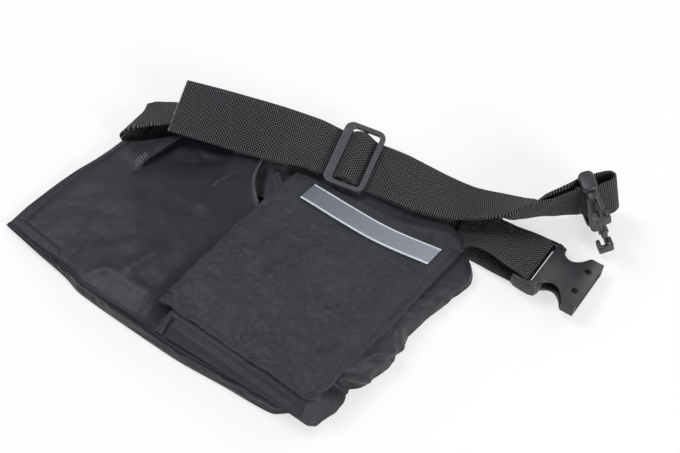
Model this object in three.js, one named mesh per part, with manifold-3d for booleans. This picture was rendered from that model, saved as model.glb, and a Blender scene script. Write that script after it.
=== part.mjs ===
// A nylon hip pack lying on its back, with its belt unclipped and drawn across its top.
// Millimetres, +Z up, the table at Z = 0. +X runs along the lower edge of the flap, +Y points to the
// belt, and the origin lies under the middle of the back panel.
import * as THREE from 'three';
import { mergeVertices } from 'three/addons/utils/BufferGeometryUtils.js';
import Module from 'manifold-3d';

const wasm = await Module();
wasm.setup();

// Driving sizes
const CLOTH = 1.6; // coated nylon with its lining and seam allowance
const CLOTH_GAP = 1.3; // air between two layers of cloth
const WEBBING_WIDTH = 38;
const WEBBING = 1.7;
const LAYER_GAP = 0.5; // air between the two layers of the doubled belt
const BELT_Z = 2.95; // middle of a belt end between the back panel and the top band
const LABEL_SIZE = { height: 16, thickness: 0.8, gap: 0.7 };
const RIGHT_SEAM = 112;
const BACK_CORNER = 6;
const FOOT_Z = 2.2; // lower edge of the bottom wall, just clear of the back panel
const FLANGE = 1.5; // seam allowance that lies flat at the corners of the main pocket
const FLAP = { left: -3.2, right: 122, bottom: -69.5, topLeft: 67, topRise: 0.09 };
const SLIDER = { length: 29, width: 50, bar: 5, rail: 3.5, thickness: 3, corner: 6, middle: 3.4 };
const SLIDER_PLACE = { x: 24, aside: 1.5 };
const MALE = { halfWidth: 23.5, thickness: 7, slot: [2.8, 8.4], slotHalf: 20, tip: 30 };
const MALE_PLACE = { x: 169.6, y: 155.1, z: 24.3, yaw: -40, roll: 103 };
const FEMALE = { halfWidth: 21.4, thickness: 10, barThickness: 5.6, slot: [2, 8.4], slotHalf: 19.4, mouth: 40 };
const FEMALE_PLACE = { x: 161.5, y: 102.2, z: 8.7, yaw: 3, roll: -8 };
const BAR_TURN = { middle: 0.8, radius: 4.6 }; // the short webbing's turn round the female buckle's bar

// Colours
const NYLON = { color: 0x24252b, roughness: 0.62, metalness: 0 };
const FLAP_NYLON = { color: 0x2b2b2f, roughness: 0.72, metalness: 0 };
const WEBBING_FINISH = { color: 0x2a2b2a, roughness: 0.85, metalness: 0 };
const PLASTIC = { color: 0x3a3a3e, roughness: 0.42, metalness: 0 };
const WOVEN_LABEL = { color: 0x8d929a, roughness: 0.7, metalness: 0 };

// Upper edge of the pack with the lower edge of its top band, and lower edge of its back, left to right
const BAND_EDGES = [
  { x: -108, top: 57, low: 21 },
  { x: -60, top: 66, low: 30 },
  { x: 0, top: 77, low: 41 },
  { x: 60, top: 87, low: 51 },
  { x: 84, top: 91.1, low: 58 },
  { x: 98, top: 93.2, low: 70 },
  { x: 112, top: 90.8, low: 78.5 },
  { x: 119, top: 87.6, low: 79.6 },
  { x: 121.8, top: 86, low: 80.1 },
];
const BOTTOM_EDGE = [
  { x: -131, y: -76 },
  { x: -90, y: -80.8 },
  { x: -64, y: -82.5 },
  { x: -50, y: -85.4 },
  { x: 10, y: -85.4 },
  { x: 32, y: -84.6 },
  { x: 60, y: -81.6 },
  { x: 91, y: -78.8 },
  { x: 98, y: -76 },
  { x: 112, y: -62 },
];
// Left edge of the pack, upwards
const LEFT_EDGE = [
  { y: -78, x: -131 },
  { y: -58, x: -130 },
  { y: -40, x: -128 },
  { y: -21, x: -124.5 },
  { y: -5, x: -119.8 },
  { y: 12, x: -116 },
  { y: 35, x: -112 },
  { y: 57, x: -108 },
];

// Sections of the main pocket, left to right: its mouth, the crown and the lower shoulder of its front,
// the seam along its bottom, and how upright the wall below that seam stands (0 flat, 1 upright)
const MAIN_SECTIONS = [
  { x: -121, mouthY: 17, mouthZ: 8, crownZ: 5.2, shoulderZ: 4.3, seamZ: 3.9, upright: 0 },
  { x: -108, mouthY: 27, mouthZ: 9.3, crownZ: 8.5, shoulderZ: 6.2, seamZ: 4.8, upright: 0.1 },
  { x: -88, mouthY: 45, mouthZ: 10.5, crownZ: 11.5, shoulderZ: 9, seamZ: 7.5, upright: 0.5 },
  { x: -60, mouthY: 57, mouthZ: 9.8, crownZ: 14, shoulderZ: 13, seamZ: 11.5, upright: 1 },
  { x: -40, mouthY: 60, mouthZ: 11.4, crownZ: 16, shoulderZ: 16.4, seamZ: 13.6, upright: 1 },
  { x: -28, mouthY: 60, mouthZ: 13, crownZ: 17, shoulderZ: 18, seamZ: 14.5, upright: 1 },
  { x: -10, mouthY: 33, mouthZ: 14.4, crownZ: 17.6, shoulderZ: 18, seamZ: 15.5, upright: 1 },
  { x: 12, mouthY: 25, mouthZ: 11, crownZ: 12.5, shoulderZ: 13.6, seamZ: 13.3, upright: 1 },
  { x: 60, mouthY: 27, mouthZ: 10.5, crownZ: 12, shoulderZ: 13.4, seamZ: 13.5, upright: 1 },
  { x: 96, mouthY: 36, mouthZ: 9, crownZ: 10, shoulderZ: 12, seamZ: 13, upright: 1 },
  { x: 112, mouthY: 40, mouthZ: 5.6, crownZ: 4.4, shoulderZ: 4.2, seamZ: 4, upright: 0 },
];
const CROWN_AT = 0.5;
const SHOULDER_AT = 0.86;

// Ridges of the main pocket: the pleat below the belt, the hollow beside it, the crease over the bottom in
// two stretches, a wrinkle, and a soft ridge down the middle
const MAIN_FOLDS = [
  { fromX: -87.5, fromY: 4, toX: -83.5, toY: 44, width: 4, lift: 2.2 },
  { fromX: -75, fromY: 12, toX: -63, toY: 34, width: 10, lift: -1.8 },
  { fromX: -58, fromY: -80, toX: -48.5, toY: -69, width: 4, lift: 1.4 },
  { fromX: -48.5, fromY: -69, toX: -8, toY: -67, width: 5, lift: 1.6 },
  { fromX: -36, fromY: -60, toX: -30, toY: -38, width: 5, lift: 1.2 },
  { fromX: -32, fromY: 44, toX: -36, toY: -31, width: 6, lift: 0.9 },
];

// Height of the flap from its sewn top edge (0) to its lower edge (1)
const FLAP_PROFILE = [
  { down: 0, z: 11.4 },
  { down: 0.1, z: 14 },
  { down: 0.25, z: 17.8 },
  { down: 0.45, z: 22 },
  { down: 0.65, z: 24 },
  { down: 0.85, z: 25 },
  { down: 1, z: 24.6 },
];
const FLAP_FOLDS = [
  { fromX: 52, fromY: 34, toX: 38, toY: -18, width: 7, lift: 0.9 },
  { fromX: 4, fromY: -58, toX: 34, toY: -50, width: 6, lift: 1.4 },
  { fromX: 84, fromY: -64, toX: 108, toY: -38, width: 7, lift: 1.4 },
  { fromX: 114, fromY: -20, toX: 104, toY: 26, width: 6, lift: 0.9 },
];
const FLAP_CORNER = { start: 108, droop: 0.008, sweep: 0.14 };
const FLAP_SIDE = { start: 8, droop: 0.018 };

// Middle line of the label
const LABEL_LINE = [
  { x: 15, y: 56.3 },
  { x: 65, y: 56.3 },
  { x: 90, y: 59.4 },
  { x: 111.5, y: 63.4 },
];

// How far the crumpled side of the front pocket reaches to the right, along Y, and how much further out
// (or in, where negative) its middle height lies
const SIDE_REACH = [
  { y: -71, x: 119.5, bulge: 0 },
  { y: -60, x: 121.6, bulge: -4 },
  { y: -46, x: 123.8, bulge: -5 },
  { y: -30, x: 126.4, bulge: 1 },
  { y: -13, x: 131, bulge: 1 },
  { y: -4, x: 130.5, bulge: 0.5 },
  { y: 8, x: 128.2, bulge: -1 },
  { y: 26, x: 129, bulge: 0 },
  { y: 37, x: 131.6, bulge: 0.5 },
  { y: 50, x: 133.8, bulge: 0.5 },
  { y: 64, x: 137, bulge: 0 },
  { y: 69, x: 137.4, bulge: 0 },
  { y: 78, x: 130, bulge: 0 },
];

// The front pocket from its left foot (0) over its front to its right foot (1): share of its width, how
// far it is lifted from its foot to its front, its share of the side's bulge, where its mouth and lower
// edge lie, and its foot's height
const FRONT_ACROSS = [
  { at: 0, span: 0, lift: 0, bulge: 0, mouthY: 44, lowerY: -84.6, footZ: 15.9 },
  { at: 0.06, span: 0.012, lift: 0.75, bulge: 0, mouthY: 44, lowerY: -84.6, footZ: 15.9 },
  { at: 0.12, span: 0.05, lift: 1, bulge: 0, mouthY: 44, lowerY: -84.5, footZ: 15.9 },
  { at: 0.62, span: 0.83, lift: 1, bulge: 0, mouthY: 58, lowerY: -79.6, footZ: 15.6 },
  { at: 0.76, span: 0.925, lift: 0.93, bulge: 0.2, mouthY: 77, lowerY: -78.4, footZ: 13.5 },
  { at: 0.89, span: 0.98, lift: 0.5, bulge: 1, mouthY: 76.5, lowerY: -76, footZ: 7.5 },
  { at: 1, span: 1, lift: 0, bulge: 0, mouthY: 75, lowerY: -71, footZ: 0.9 },
];
const FRONT_LEFT = 5;
const FRONT_DOWN = [
  { at: 0, run: 0, lift: 1 },
  { at: 0.72, run: 0.84, lift: 1 },
  { at: 0.87, run: 0.93, lift: 0.82 },
  { at: 1, run: 1, lift: 0 },
];
const LEAST_RISE = 2; // the front stands at least this far above its foot

// Height of the top band from its upper edge (0) to its lower edge (1)
const BAND_PROFILE = [
  { down: 0, z: 6.8 },
  { down: 0.35, z: 7.3 },
  { down: 1, z: 6.1 },
];
const BAND_RIGHT = { start: 78, end: 98, lift: 2.6 };

// Stations of the belt: middle of the webbing, and the direction of its width as a heading in plan and a
// rise over the horizontal, in degrees
const BELT_END = [
  { x: -58, y: 48, z: BELT_Z, heading: 101, rise: 0 },
  { x: -84, y: 43.5, z: BELT_Z, heading: 100, rise: 0 },
  { x: -112, y: 38.8, z: BELT_Z, heading: 100, rise: 0 },
  { x: -119, y: 37.7, z: 3.8, heading: 102, rise: -2 },
  { x: -122, y: 37.6, z: 7, heading: 104, rise: -7 },
  { x: -119.8, y: 39, z: 10.6, heading: 107, rise: -12 },
  { x: -113.5, y: 43.8, z: 12.3, heading: 110, rise: -18 },
  { x: -106, y: 50, z: 11.8, heading: 115, rise: -21 },
  { x: -96, y: 56.3, z: 10.4, heading: 116, rise: -20 },
  { x: -84, y: 62, z: 10.6, heading: 112, rise: -15 },
  { x: -62, y: 70, z: 14.4, heading: 109, rise: 0 },
  { x: -38, y: 78, z: 17.6, heading: 107, rise: 11 },
];
// The doubled stretch: its lower layer also leans by an angle and is spread from the upper one
const BELT_RUN = [
  { x: -2, y: 87.4, z: 21, heading: 106, rise: 6.4, lean: 0, spread: 0 },
  { x: 10, y: 91.1, z: 19.35, heading: 106, rise: 5.8, lean: 0, spread: 0 },
  { x: 24, y: 95.2, z: 17.4, heading: 106, rise: 6, lean: 0, spread: 0 },
  { x: 40, y: 99.5, z: 15.7, heading: 105, rise: 5.5, lean: 0, spread: 0 },
  { x: 72, y: 103.6, z: 13, heading: 103, rise: -1, lean: 0, spread: 0 },
  { x: 101, y: 111.4, z: 11.8, heading: 106, rise: -15, lean: 3, spread: 1 },
  { x: 126, y: 122, z: 13.6, heading: 108, rise: -28, lean: 12, spread: 4 },
  { x: 145.5, y: 131.5, z: 19.4, heading: 114, rise: -55, lean: 10, spread: 3.4 },
  { x: 158.5, y: 141.8, z: 22.8, heading: 95, rise: -74, lean: 0, spread: 0 },
];
const BELT_TAIL = [
  { x: -37.9, y: 70.5, z: 26.8, heading: 108, rise: 34 },
  { x: -66, y: 62, z: 27, heading: 108, rise: 28 },
  { x: -94, y: 54, z: 26, heading: 108, rise: 22 },
];
// The loop through the male buckle, seen along its bar: distance from the bar towards the arms, and
// distance past the bar
const BELT_LOOP = [
  { out: 4, past: -7 },
  { out: 5.6, past: 0 },
  { out: 6.8, past: 9 },
  { out: 6, past: 15 },
  { out: 2, past: 18 },
  { out: -2.8, past: 16.2 },
  { out: -5.2, past: 9 },
  { out: -5.7, past: 0 },
  { out: -4.6, past: -7 },
];
// Height of the belt over the slider's middle plane, along the belt
const SLIDER_WEAVE = [
  { along: -23, z: -1 },
  { along: -16.5, z: -4.4 },
  { along: -10, z: -4.3 },
  { along: -2.2, z: 2.1 },
  { along: 2.2, z: 2.1 },
  { along: 10, z: -4.3 },
  { along: 16, z: -4.3 },
  { along: 25, z: 0 },
];

// The short webbing: out under the bar of the female buckle (lower), and back over it (upper)
const SHORT_LOWER = [
  { x: 60, y: 89, z: BELT_Z, heading: 100, rise: 0 },
  { x: 96, y: 96.4, z: BELT_Z, heading: 98, rise: 0 },
  { x: 126, y: 101, z: BELT_Z, heading: 96, rise: 0 },
  { x: 148, y: 101, z: 3.4, heading: 94, rise: -5 },
];
const SHORT_UPPER = [
  { x: 150, y: 102.2, z: 13.6, heading: 94, rise: -9 },
  { x: 138, y: 101.8, z: 12.4, heading: 95, rise: -11 },
  { x: 127, y: 101, z: 8.8, heading: 96, rise: -8 },
  { x: 119, y: 100, z: 5.3, heading: 97, rise: 0 },
  { x: 108, y: 98.4, z: BELT_Z + WEBBING + LAYER_GAP, heading: 97, rise: 0 },
];

// Number of faces across and down each cloth wall, and the step along the webbing
const GRID = { main: [26, 18], front: [22, 16], flap: [14, 14], band: [22, 4], label: [14, 2] };
const BELT_STEP = 6;
const SLIDER_STEP = 2;
const LOOP_STEP = 3.5;
const ROUND_SEGMENTS = 5;

const { clamp, lerp, smoothstep, degToRad, radToDeg } = THREE.MathUtils;

// Smooth value of a table's column where its key column has the given value
function along(rows, key, at, column) {
  let i = 0;
  while (i < rows.length - 2 && at > rows[i + 1][key]) i += 1;
  const from = rows[i];
  const to = rows[i + 1];
  const before = rows[i - 1] ?? from;
  const after = rows[i + 2] ?? to;
  const width = to[key] - from[key];
  const t = clamp((at - from[key]) / width, 0, 1);
  const slopeFrom = (width * (to[column] - before[column])) / (to[key] - before[key]);
  const slopeTo = (width * (after[column] - from[column])) / (after[key] - from[key]);
  const t2 = t * t;
  const t3 = t2 * t;
  const start = (2 * t3 - 3 * t2 + 1) * from[column] + (t3 - 2 * t2 + t) * slopeFrom;
  return start + (3 * t2 - 2 * t3) * to[column] + (t3 - t2) * slopeTo;
}

// Sum of the ridges at a point: each is a bell across its line, ending softly past the line's ends
function ridges(folds, x, y) {
  let sum = 0;
  for (const fold of folds) {
    const runX = fold.toX - fold.fromX;
    const runY = fold.toY - fold.fromY;
    const share = ((x - fold.fromX) * runX + (y - fold.fromY) * runY) / (runX * runX + runY * runY);
    const nearest = clamp(share, 0, 1);
    const distance = Math.hypot(x - fold.fromX - runX * nearest, y - fold.fromY - runY * nearest);
    sum += fold.lift * Math.exp(-((distance / fold.width) ** 2));
  }
  return sum;
}

// Triangles of a closed skin: two matching grids, outside and inside, joined round their rim
function closedSkin(outer, inner) {
  const rows = outer.length;
  const columns = outer[0].length;
  const positions = [...outer.flat(), ...inner.flat()].flatMap((p) => [p.x, p.y, p.z]);
  const innerStart = rows * columns;
  const index = [];
  const quad = (a, b, c, d) => index.push(a, b, c, a, c, d);
  const at = (i, j) => i * columns + j;
  for (let i = 0; i < rows - 1; i += 1) {
    for (let j = 0; j < columns - 1; j += 1) {
      const corners = [at(i, j), at(i + 1, j), at(i + 1, j + 1), at(i, j + 1)];
      quad(...corners);
      quad(...corners.reverse().map((vertex) => vertex + innerStart));
    }
  }
  const rim = [];
  for (let i = 0; i < rows - 1; i += 1) rim.push(at(i, 0));
  for (let j = 0; j < columns - 1; j += 1) rim.push(at(rows - 1, j));
  for (let i = rows - 1; i > 0; i -= 1) rim.push(at(i, columns - 1));
  for (let j = columns - 1; j > 0; j -= 1) rim.push(at(0, j));
  rim.forEach((vertex, k) => {
    const next = rim[(k + 1) % rim.length];
    quad(next, vertex, vertex + innerStart, next + innerStart);
  });
  const geometry = new THREE.BufferGeometry();
  geometry.setAttribute('position', new THREE.Float32BufferAttribute(positions, 3));
  geometry.setIndex(index);
  geometry.computeVertexNormals();
  return geometry;
}

// A cloth wall: a grid of points on its outer face, and the same grid set in along the face's normals
function clothWall([across, down], outerPoint, thickness) {
  const outer = [];
  for (let i = 0; i <= across; i += 1) {
    const row = [];
    for (let j = 0; j <= down; j += 1) row.push(outerPoint(i / across, j / down));
    outer.push(row);
  }
  const inner = outer.map((row, i) => row.map((point, j) => {
    const alongAcross = outer[Math.min(i + 1, across)][j].clone().sub(outer[Math.max(i - 1, 0)][j]);
    const alongDown = row[Math.min(j + 1, down)].clone().sub(row[Math.max(j - 1, 0)]);
    const normal = alongAcross.cross(alongDown).normalize();
    return point.clone().addScaledVector(normal, -thickness);
  }));
  return closedSkin(outer, inner);
}

// The flat back: the pack's outline as one plate of cloth
function backPanel() {
  const toPoint = (row) => new THREE.Vector2(row.x, row.y);
  const left = LEFT_EDGE.map(toPoint);
  const top = BAND_EDGES.filter((row) => row.x < RIGHT_SEAM).map((row) => new THREE.Vector2(row.x, row.top));
  const bottom = BOTTOM_EDGE.map(toPoint).reverse();
  const shape = new THREE.Shape();
  shape.moveTo(left[1].x, left[1].y);
  shape.splineThru(left.slice(2));
  shape.splineThru(top.slice(1));
  shape.lineTo(RIGHT_SEAM, top.at(-1).y - BACK_CORNER);
  shape.lineTo(bottom[0].x, bottom[0].y);
  shape.splineThru(bottom.slice(1, -1));
  shape.lineTo(bottom.at(-1).x + BACK_CORNER, bottom.at(-1).y);
  shape.lineTo(bottom.at(-1).x + 1, bottom.at(-1).y + BACK_CORNER);
  const options = { depth: CLOTH, bevelEnabled: false, curveSegments: ROUND_SEGMENTS };
  return new THREE.ExtrudeGeometry(shape, options);
}

// The wide pocket: each section runs from the mouth over the front to the seam, then down the bottom wall
function mainPocket() {
  const frontShare = 0.78;
  const point = (u, v) => {
    const station = lerp(MAIN_SECTIONS[0].x, RIGHT_SEAM, u);
    const value = (column) => along(MAIN_SECTIONS, 'x', station, column);
    const seamY = along(BOTTOM_EDGE, 'x', station, 'y');
    const front = Math.min(v / frontShare, 1);
    const wall = Math.max(v - frontShare, 0) / (1 - frontShare);
    const heights = [
      { at: 0, z: value('mouthZ') },
      { at: CROWN_AT, z: value('crownZ') },
      { at: SHOULDER_AT, z: value('shoulderZ') },
      { at: 1, z: value('seamZ') },
    ];
    const upright = clamp(value('upright'), 0, 1);
    const y = lerp(value('mouthY'), seamY, front) - FLANGE * (1 - upright) * wall;
    const x = station + (along(LEFT_EDGE, 'y', y, 'x') - MAIN_SECTIONS[0].x) * (1 - u);
    const drop = (value('seamZ') - FOOT_Z) * upright * wall;
    const z = along(heights, 'at', front, 'z') - drop + ridges(MAIN_FOLDS, x, y) * (1 - wall);
    return new THREE.Vector3(x, y, z);
  };
  return clothWall(GRID.main, (u, v) => point(1 - u, v), CLOTH);
}

const flapTop = (x) => FLAP.topLeft + FLAP.topRise * (x - FLAP.left);

// Height of the flap's outer face
function flapZ(x, y) {
  const top = flapTop(x);
  const down = clamp((top - y) / (top - FLAP.bottom), 0, 1);
  const past = Math.max(x - FLAP_CORNER.start, 0);
  const before = Math.max(FLAP_SIDE.start - x, 0);
  const droop = FLAP_CORNER.droop * past * past + FLAP_SIDE.droop * before * before;
  return along(FLAP_PROFILE, 'down', down, 'z') - droop + ridges(FLAP_FOLDS, x, y);
}

// The lid: sewn along its top edge, with its lower right corner swept round
function flap() {
  const point = (u, v) => {
    const x = lerp(FLAP.right, FLAP.left, u);
    const past = Math.max(x - FLAP_CORNER.start, 0);
    const y = lerp(flapTop(x), FLAP.bottom + FLAP_CORNER.sweep * past * past, v);
    return new THREE.Vector3(x, y, flapZ(x, y));
  };
  return clothWall(GRID.flap, point, CLOTH);
}

// The woven label, lying on the flap along its top edge and bowed upwards to the right
function label() {
  const point = (u, v) => {
    const x = lerp(LABEL_LINE.at(-1).x, LABEL_LINE[0].x, u);
    const y = along(LABEL_LINE, 'x', x, 'y') + LABEL_SIZE.height * (0.5 - v);
    return new THREE.Vector3(x, y, flapZ(x, y) + LABEL_SIZE.gap + LABEL_SIZE.thickness);
  };
  return clothWall(GRID.label, point, LABEL_SIZE.thickness);
}

// The gusseted pocket under the flap: a low dome, open at its mouth, whose right side reaches the table
function frontPocket() {
  const point = (u, v) => {
    const across = (column) => along(FRONT_ACROSS, 'at', 1 - u, column);
    const down = (column) => along(FRONT_DOWN, 'at', v, column);
    const y = lerp(across('mouthY'), across('lowerY'), down('run'));
    const side = (column) => along(SIDE_REACH, 'y', y, column);
    const x = lerp(FRONT_LEFT, side('x'), across('span')) + across('bulge') * side('bulge');
    const front = flapZ(Math.min(x, FLAP.right), y) - CLOTH - CLOTH_GAP;
    const foot = Math.min(across('footZ'), front - LEAST_RISE);
    const lift = clamp(across('lift'), 0, 1) * clamp(down('lift'), 0, 1);
    return new THREE.Vector3(x, y, lerp(foot, front, lift));
  };
  return clothWall(GRID.front, point, CLOTH);
}

// The band along the top edge, arched over the belt ends and narrowing to its right corner
function topBand() {
  const point = (u, v) => {
    const x = lerp(BAND_EDGES.at(-1).x, BAND_EDGES[0].x, u);
    const y = lerp(along(BAND_EDGES, 'x', x, 'top'), along(BAND_EDGES, 'x', x, 'low'), v);
    const lift = BAND_RIGHT.lift * smoothstep(x, BAND_RIGHT.start, BAND_RIGHT.end);
    return new THREE.Vector3(x, y, along(BAND_PROFILE, 'down', v, 'z') + lift);
  };
  return clothWall(GRID.band, point, CLOTH);
}

// Where a buckle half lies: rolled about its own length, then turned in plan
function placement({ x, y, z, yaw, roll }) {
  const turn = new THREE.Euler(degToRad(roll), 0, degToRad(yaw), 'ZYX');
  return new THREE.Matrix4().makeRotationFromEuler(turn).setPosition(x, y, z);
}

// Direction of the webbing's width at a station
function widthDirection(heading, rise) {
  const flat = Math.cos(degToRad(rise));
  const plan = degToRad(heading);
  return new THREE.Vector3(flat * Math.cos(plan), flat * Math.sin(plan), Math.sin(degToRad(rise)));
}

// Evenly spaced stations along a smooth curve through the rows of a belt table
function route(rows, step) {
  const curve = new THREE.CatmullRomCurve3(rows.map((row) => new THREE.Vector3(row.x, row.y, row.z)));
  curve.curveType = 'centripetal';
  const widths = rows.map((row) => widthDirection(row.heading, row.rise));
  const count = Math.ceil(curve.getLength() / step);
  const stations = [];
  for (let i = 0; i <= count; i += 1) {
    const t = curve.getUtoTmapping(i / count);
    const place = t * (rows.length - 1);
    const row = Math.min(Math.floor(place), rows.length - 2);
    const width = widths[row].clone().lerp(widths[row + 1], place - row).normalize();
    stations.push({ middle: curve.getPoint(t), width });
  }
  return stations;
}

// Tangent at a station, from its neighbours
function tangent(stations, i) {
  const next = stations[Math.min(i + 1, stations.length - 1)].middle;
  const previous = stations[Math.max(i - 1, 0)].middle;
  return next.clone().sub(previous).normalize();
}

// Width squared to the tangent, and the face normal that belongs to both
function frameAt(stations, i) {
  const forward = tangent(stations, i);
  const width = stations[i].width.clone();
  width.addScaledVector(forward, -width.dot(forward)).normalize();
  return { forward, width, normal: forward.clone().cross(width) };
}

// The stations moved along their face normals by a height that may change along the way
function raised(stations, heightAt) {
  return stations.map((station, i) => {
    const { normal } = frameAt(stations, i);
    return { middle: station.middle.clone().addScaledVector(normal, heightAt(i)), width: station.width };
  });
}

// Flat webbing: a rectangle carried along the stations
function webbing(stations) {
  const sides = [0.5, 0, -0.5];
  const face = (side) => stations.map((station, i) => {
    const { width, normal } = frameAt(stations, i);
    return sides.map((share) => station.middle.clone()
      .addScaledVector(width, share * WEBBING_WIDTH)
      .addScaledVector(normal, side * WEBBING * 0.5));
  });
  return closedSkin(face(-1), face(1));
}

// Where the slider lies: the belt's frame nearest to its place
function sliderFrame(stations) {
  const off = stations.map((station) => Math.abs(station.middle.x - SLIDER_PLACE.x));
  const nearest = off.indexOf(Math.min(...off));
  return { ...frameAt(stations, nearest), middle: stations[nearest].middle };
}

// Stations as rows of a belt table
function rowsOf(stations) {
  return stations.map(({ middle, width }) => {
    const rise = radToDeg(Math.asin(width.z));
    const heading = radToDeg(Math.atan2(width.y, width.x));
    return { x: middle.x, y: middle.y, z: middle.z, heading, rise };
  });
}

// Rows of a belt table as stations
function stationsOf(rows) {
  return rows.map((row) => {
    const middle = new THREE.Vector3(row.x, row.y, row.z);
    return { middle, width: widthDirection(row.heading, row.rise) };
  });
}

// One layer of the doubled belt: routed, woven over the slider's middle bar, and set off from the other layer
function wovenLayer(rows, offset) {
  const run = route(rows, SLIDER_STEP);
  const { middle, forward } = sliderFrame(run);
  const near = (station) => station.middle.clone().sub(middle).dot(forward);
  const kept = run.filter((station, i) => Math.abs(near(station)) < 24 || i % 3 === 0 || i === run.length - 1);
  const woven = raised(kept, (i) => along(SLIDER_WEAVE, 'along', near(kept[i]), 'z'));
  return raised(woven, () => offset);
}

// Rows of the belt's lower layer: spread from the upper one, and leaning
function lowerRows() {
  const spread = rowsOf(raised(stationsOf(BELT_RUN), (i) => -BELT_RUN[i].spread));
  return spread.map((row, i) => ({ ...row, rise: BELT_RUN[i].rise + BELT_RUN[i].lean }));
}

// The loop's rows carried to the male buckle's place, with the webbing's width along the bar
function loopRows() {
  const place = placement(MALE_PLACE);
  const turn = new THREE.Quaternion().setFromRotationMatrix(place);
  const width = new THREE.Vector3(0, -1, 0).applyQuaternion(turn);
  const stations = BELT_LOOP.map(({ out, past }) => {
    const middle = new THREE.Vector3(out, 0, -past).applyMatrix4(place);
    return { middle, width };
  });
  return rowsOf(stations);
}

// The whole waist strap: sewn end, fold, lower layer, loop round the male buckle, upper layer and tail
function waistStrap() {
  const half = (WEBBING + LAYER_GAP) / 2;
  const lower = wovenLayer(lowerRows(), -half);
  const upper = wovenLayer(BELT_RUN, half).reverse();
  const start = route([...BELT_END, ...rowsOf([lower[0]])], LOOP_STEP).slice(0, -1);
  const loop = route([...rowsOf([lower.at(-1)]), ...loopRows(), ...rowsOf([upper[0]])], LOOP_STEP).slice(1, -1);
  const tail = route([...rowsOf([upper.at(-1)]), ...BELT_TAIL], BELT_STEP).slice(1);
  return webbing([...start, ...lower, ...loop, ...upper, ...tail]);
}

// The short strap: out along its lower layer, round the female buckle's bar and back along its upper layer
function buckleStrap() {
  const place = placement(FEMALE_PLACE);
  const turn = [-90, -45, 0, 45, 90].map((angle) => {
    const out = BAR_TURN.middle + BAR_TURN.radius * Math.cos(degToRad(angle));
    const up = BAR_TURN.radius * Math.sin(degToRad(angle));
    const middle = new THREE.Vector3(out, 0, up).applyMatrix4(place);
    const row = { x: middle.x, y: middle.y, z: middle.z };
    return { ...row, heading: 90 + FEMALE_PLACE.yaw, rise: FEMALE_PLACE.roll };
  });
  return webbing(route([...SHORT_LOWER, ...turn, ...SHORT_UPPER], LOOP_STEP));
}

// A closed outline with rounded corners, as a shape
function roundedRectangle(left, right, halfWidth, corner) {
  const shape = new THREE.Shape();
  shape.moveTo(left + corner, -halfWidth);
  shape.absarc(right - corner, -halfWidth + corner, corner, -Math.PI / 2, 0);
  shape.absarc(right - corner, halfWidth - corner, corner, 0, Math.PI / 2);
  shape.absarc(left + corner, halfWidth - corner, corner, Math.PI / 2, Math.PI);
  shape.absarc(left + corner, -halfWidth + corner, corner, Math.PI, Math.PI * 1.5);
  return shape;
}

// A shape given depth about its own plane, with softened edges
function plate(shape, thickness, soften) {
  const options = {
    depth: thickness - 2 * soften,
    bevelEnabled: true,
    bevelThickness: soften,
    bevelSize: soften,
    bevelOffset: -soften,
    bevelSegments: 1,
    curveSegments: ROUND_SEGMENTS,
  };
  return new THREE.ExtrudeGeometry(shape, options).translate(0, 0, soften - thickness / 2);
}

// A geometry as a solid that can be joined and cut, and back again
function solidOf(geometry) {
  const bare = geometry.clone();
  bare.deleteAttribute('normal');
  bare.deleteAttribute('uv');
  const merged = mergeVertices(bare, 1e-4);
  const vertProperties = merged.attributes.position.array;
  const triVerts = new Uint32Array(merged.index.array);
  return new wasm.Manifold(new wasm.Mesh({ numProp: 3, vertProperties, triVerts }));
}

function geometryOf(solid) {
  const mesh = solid.getMesh();
  const geometry = new THREE.BufferGeometry();
  geometry.setAttribute('position', new THREE.Float32BufferAttribute(mesh.vertProperties, 3));
  geometry.setIndex([...mesh.triVerts]);
  geometry.computeVertexNormals();
  return geometry;
}

// The slider: a flat frame, with its middle bar set below the frame's plane
function slider() {
  const half = SLIDER.length / 2;
  const frame = roundedRectangle(-half, half, SLIDER.width / 2, SLIDER.corner);
  const window = SLIDER.width - 2 * SLIDER.rail;
  frame.holes.push(roundedRectangle(-half + SLIDER.bar, half - SLIDER.bar, window / 2, 2));
  const middleBar = new THREE.BoxGeometry(SLIDER.middle, window + 3, 2.6).translate(0, 0, -1.9);
  return geometryOf(solidOf(plate(frame, SLIDER.thickness, 0.6)).add(solidOf(middleBar)));
}

// Half of a symmetric outline mirrored to make the whole
function mirrored(half) {
  const whole = [...half, ...half.map(([x, y]) => [x, -y]).reverse()];
  return new THREE.Shape(whole.map(([x, y]) => new THREE.Vector2(x, y)));
}

// The male half: cheeks, bar, strap slot and base, two sprung arms and a guide tongue
function maleBuckle() {
  const wide = MALE.halfWidth;
  const outline = mirrored([
    [-4, -MALE.slotHalf], [-10, -MALE.slotHalf], [-10, -wide + 2], [-8, -wide], [4, -wide], [7, -wide + 3], [12, -20],
    [20, -20.5], [25, -19], [MALE.tip - 1, -14], [MALE.tip - 2, -12], [24, -12.5], [16, -14.5], [13, -13.5],
    [12.4, -6], [14, -4.5], [MALE.tip - 4, -4], [MALE.tip - 1, -2],
  ]);
  const base = plate(outline, MALE.thickness, 0.8);
  const slotMiddle = (MALE.slot[0] + MALE.slot[1]) / 2;
  const slotWidth = MALE.slot[1] - MALE.slot[0];
  const slot = new THREE.BoxGeometry(slotWidth, 2 * MALE.slotHalf, 2 * MALE.thickness).translate(slotMiddle, 0, 0);
  return geometryOf(solidOf(base).subtract(solidOf(slot)));
}

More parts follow.
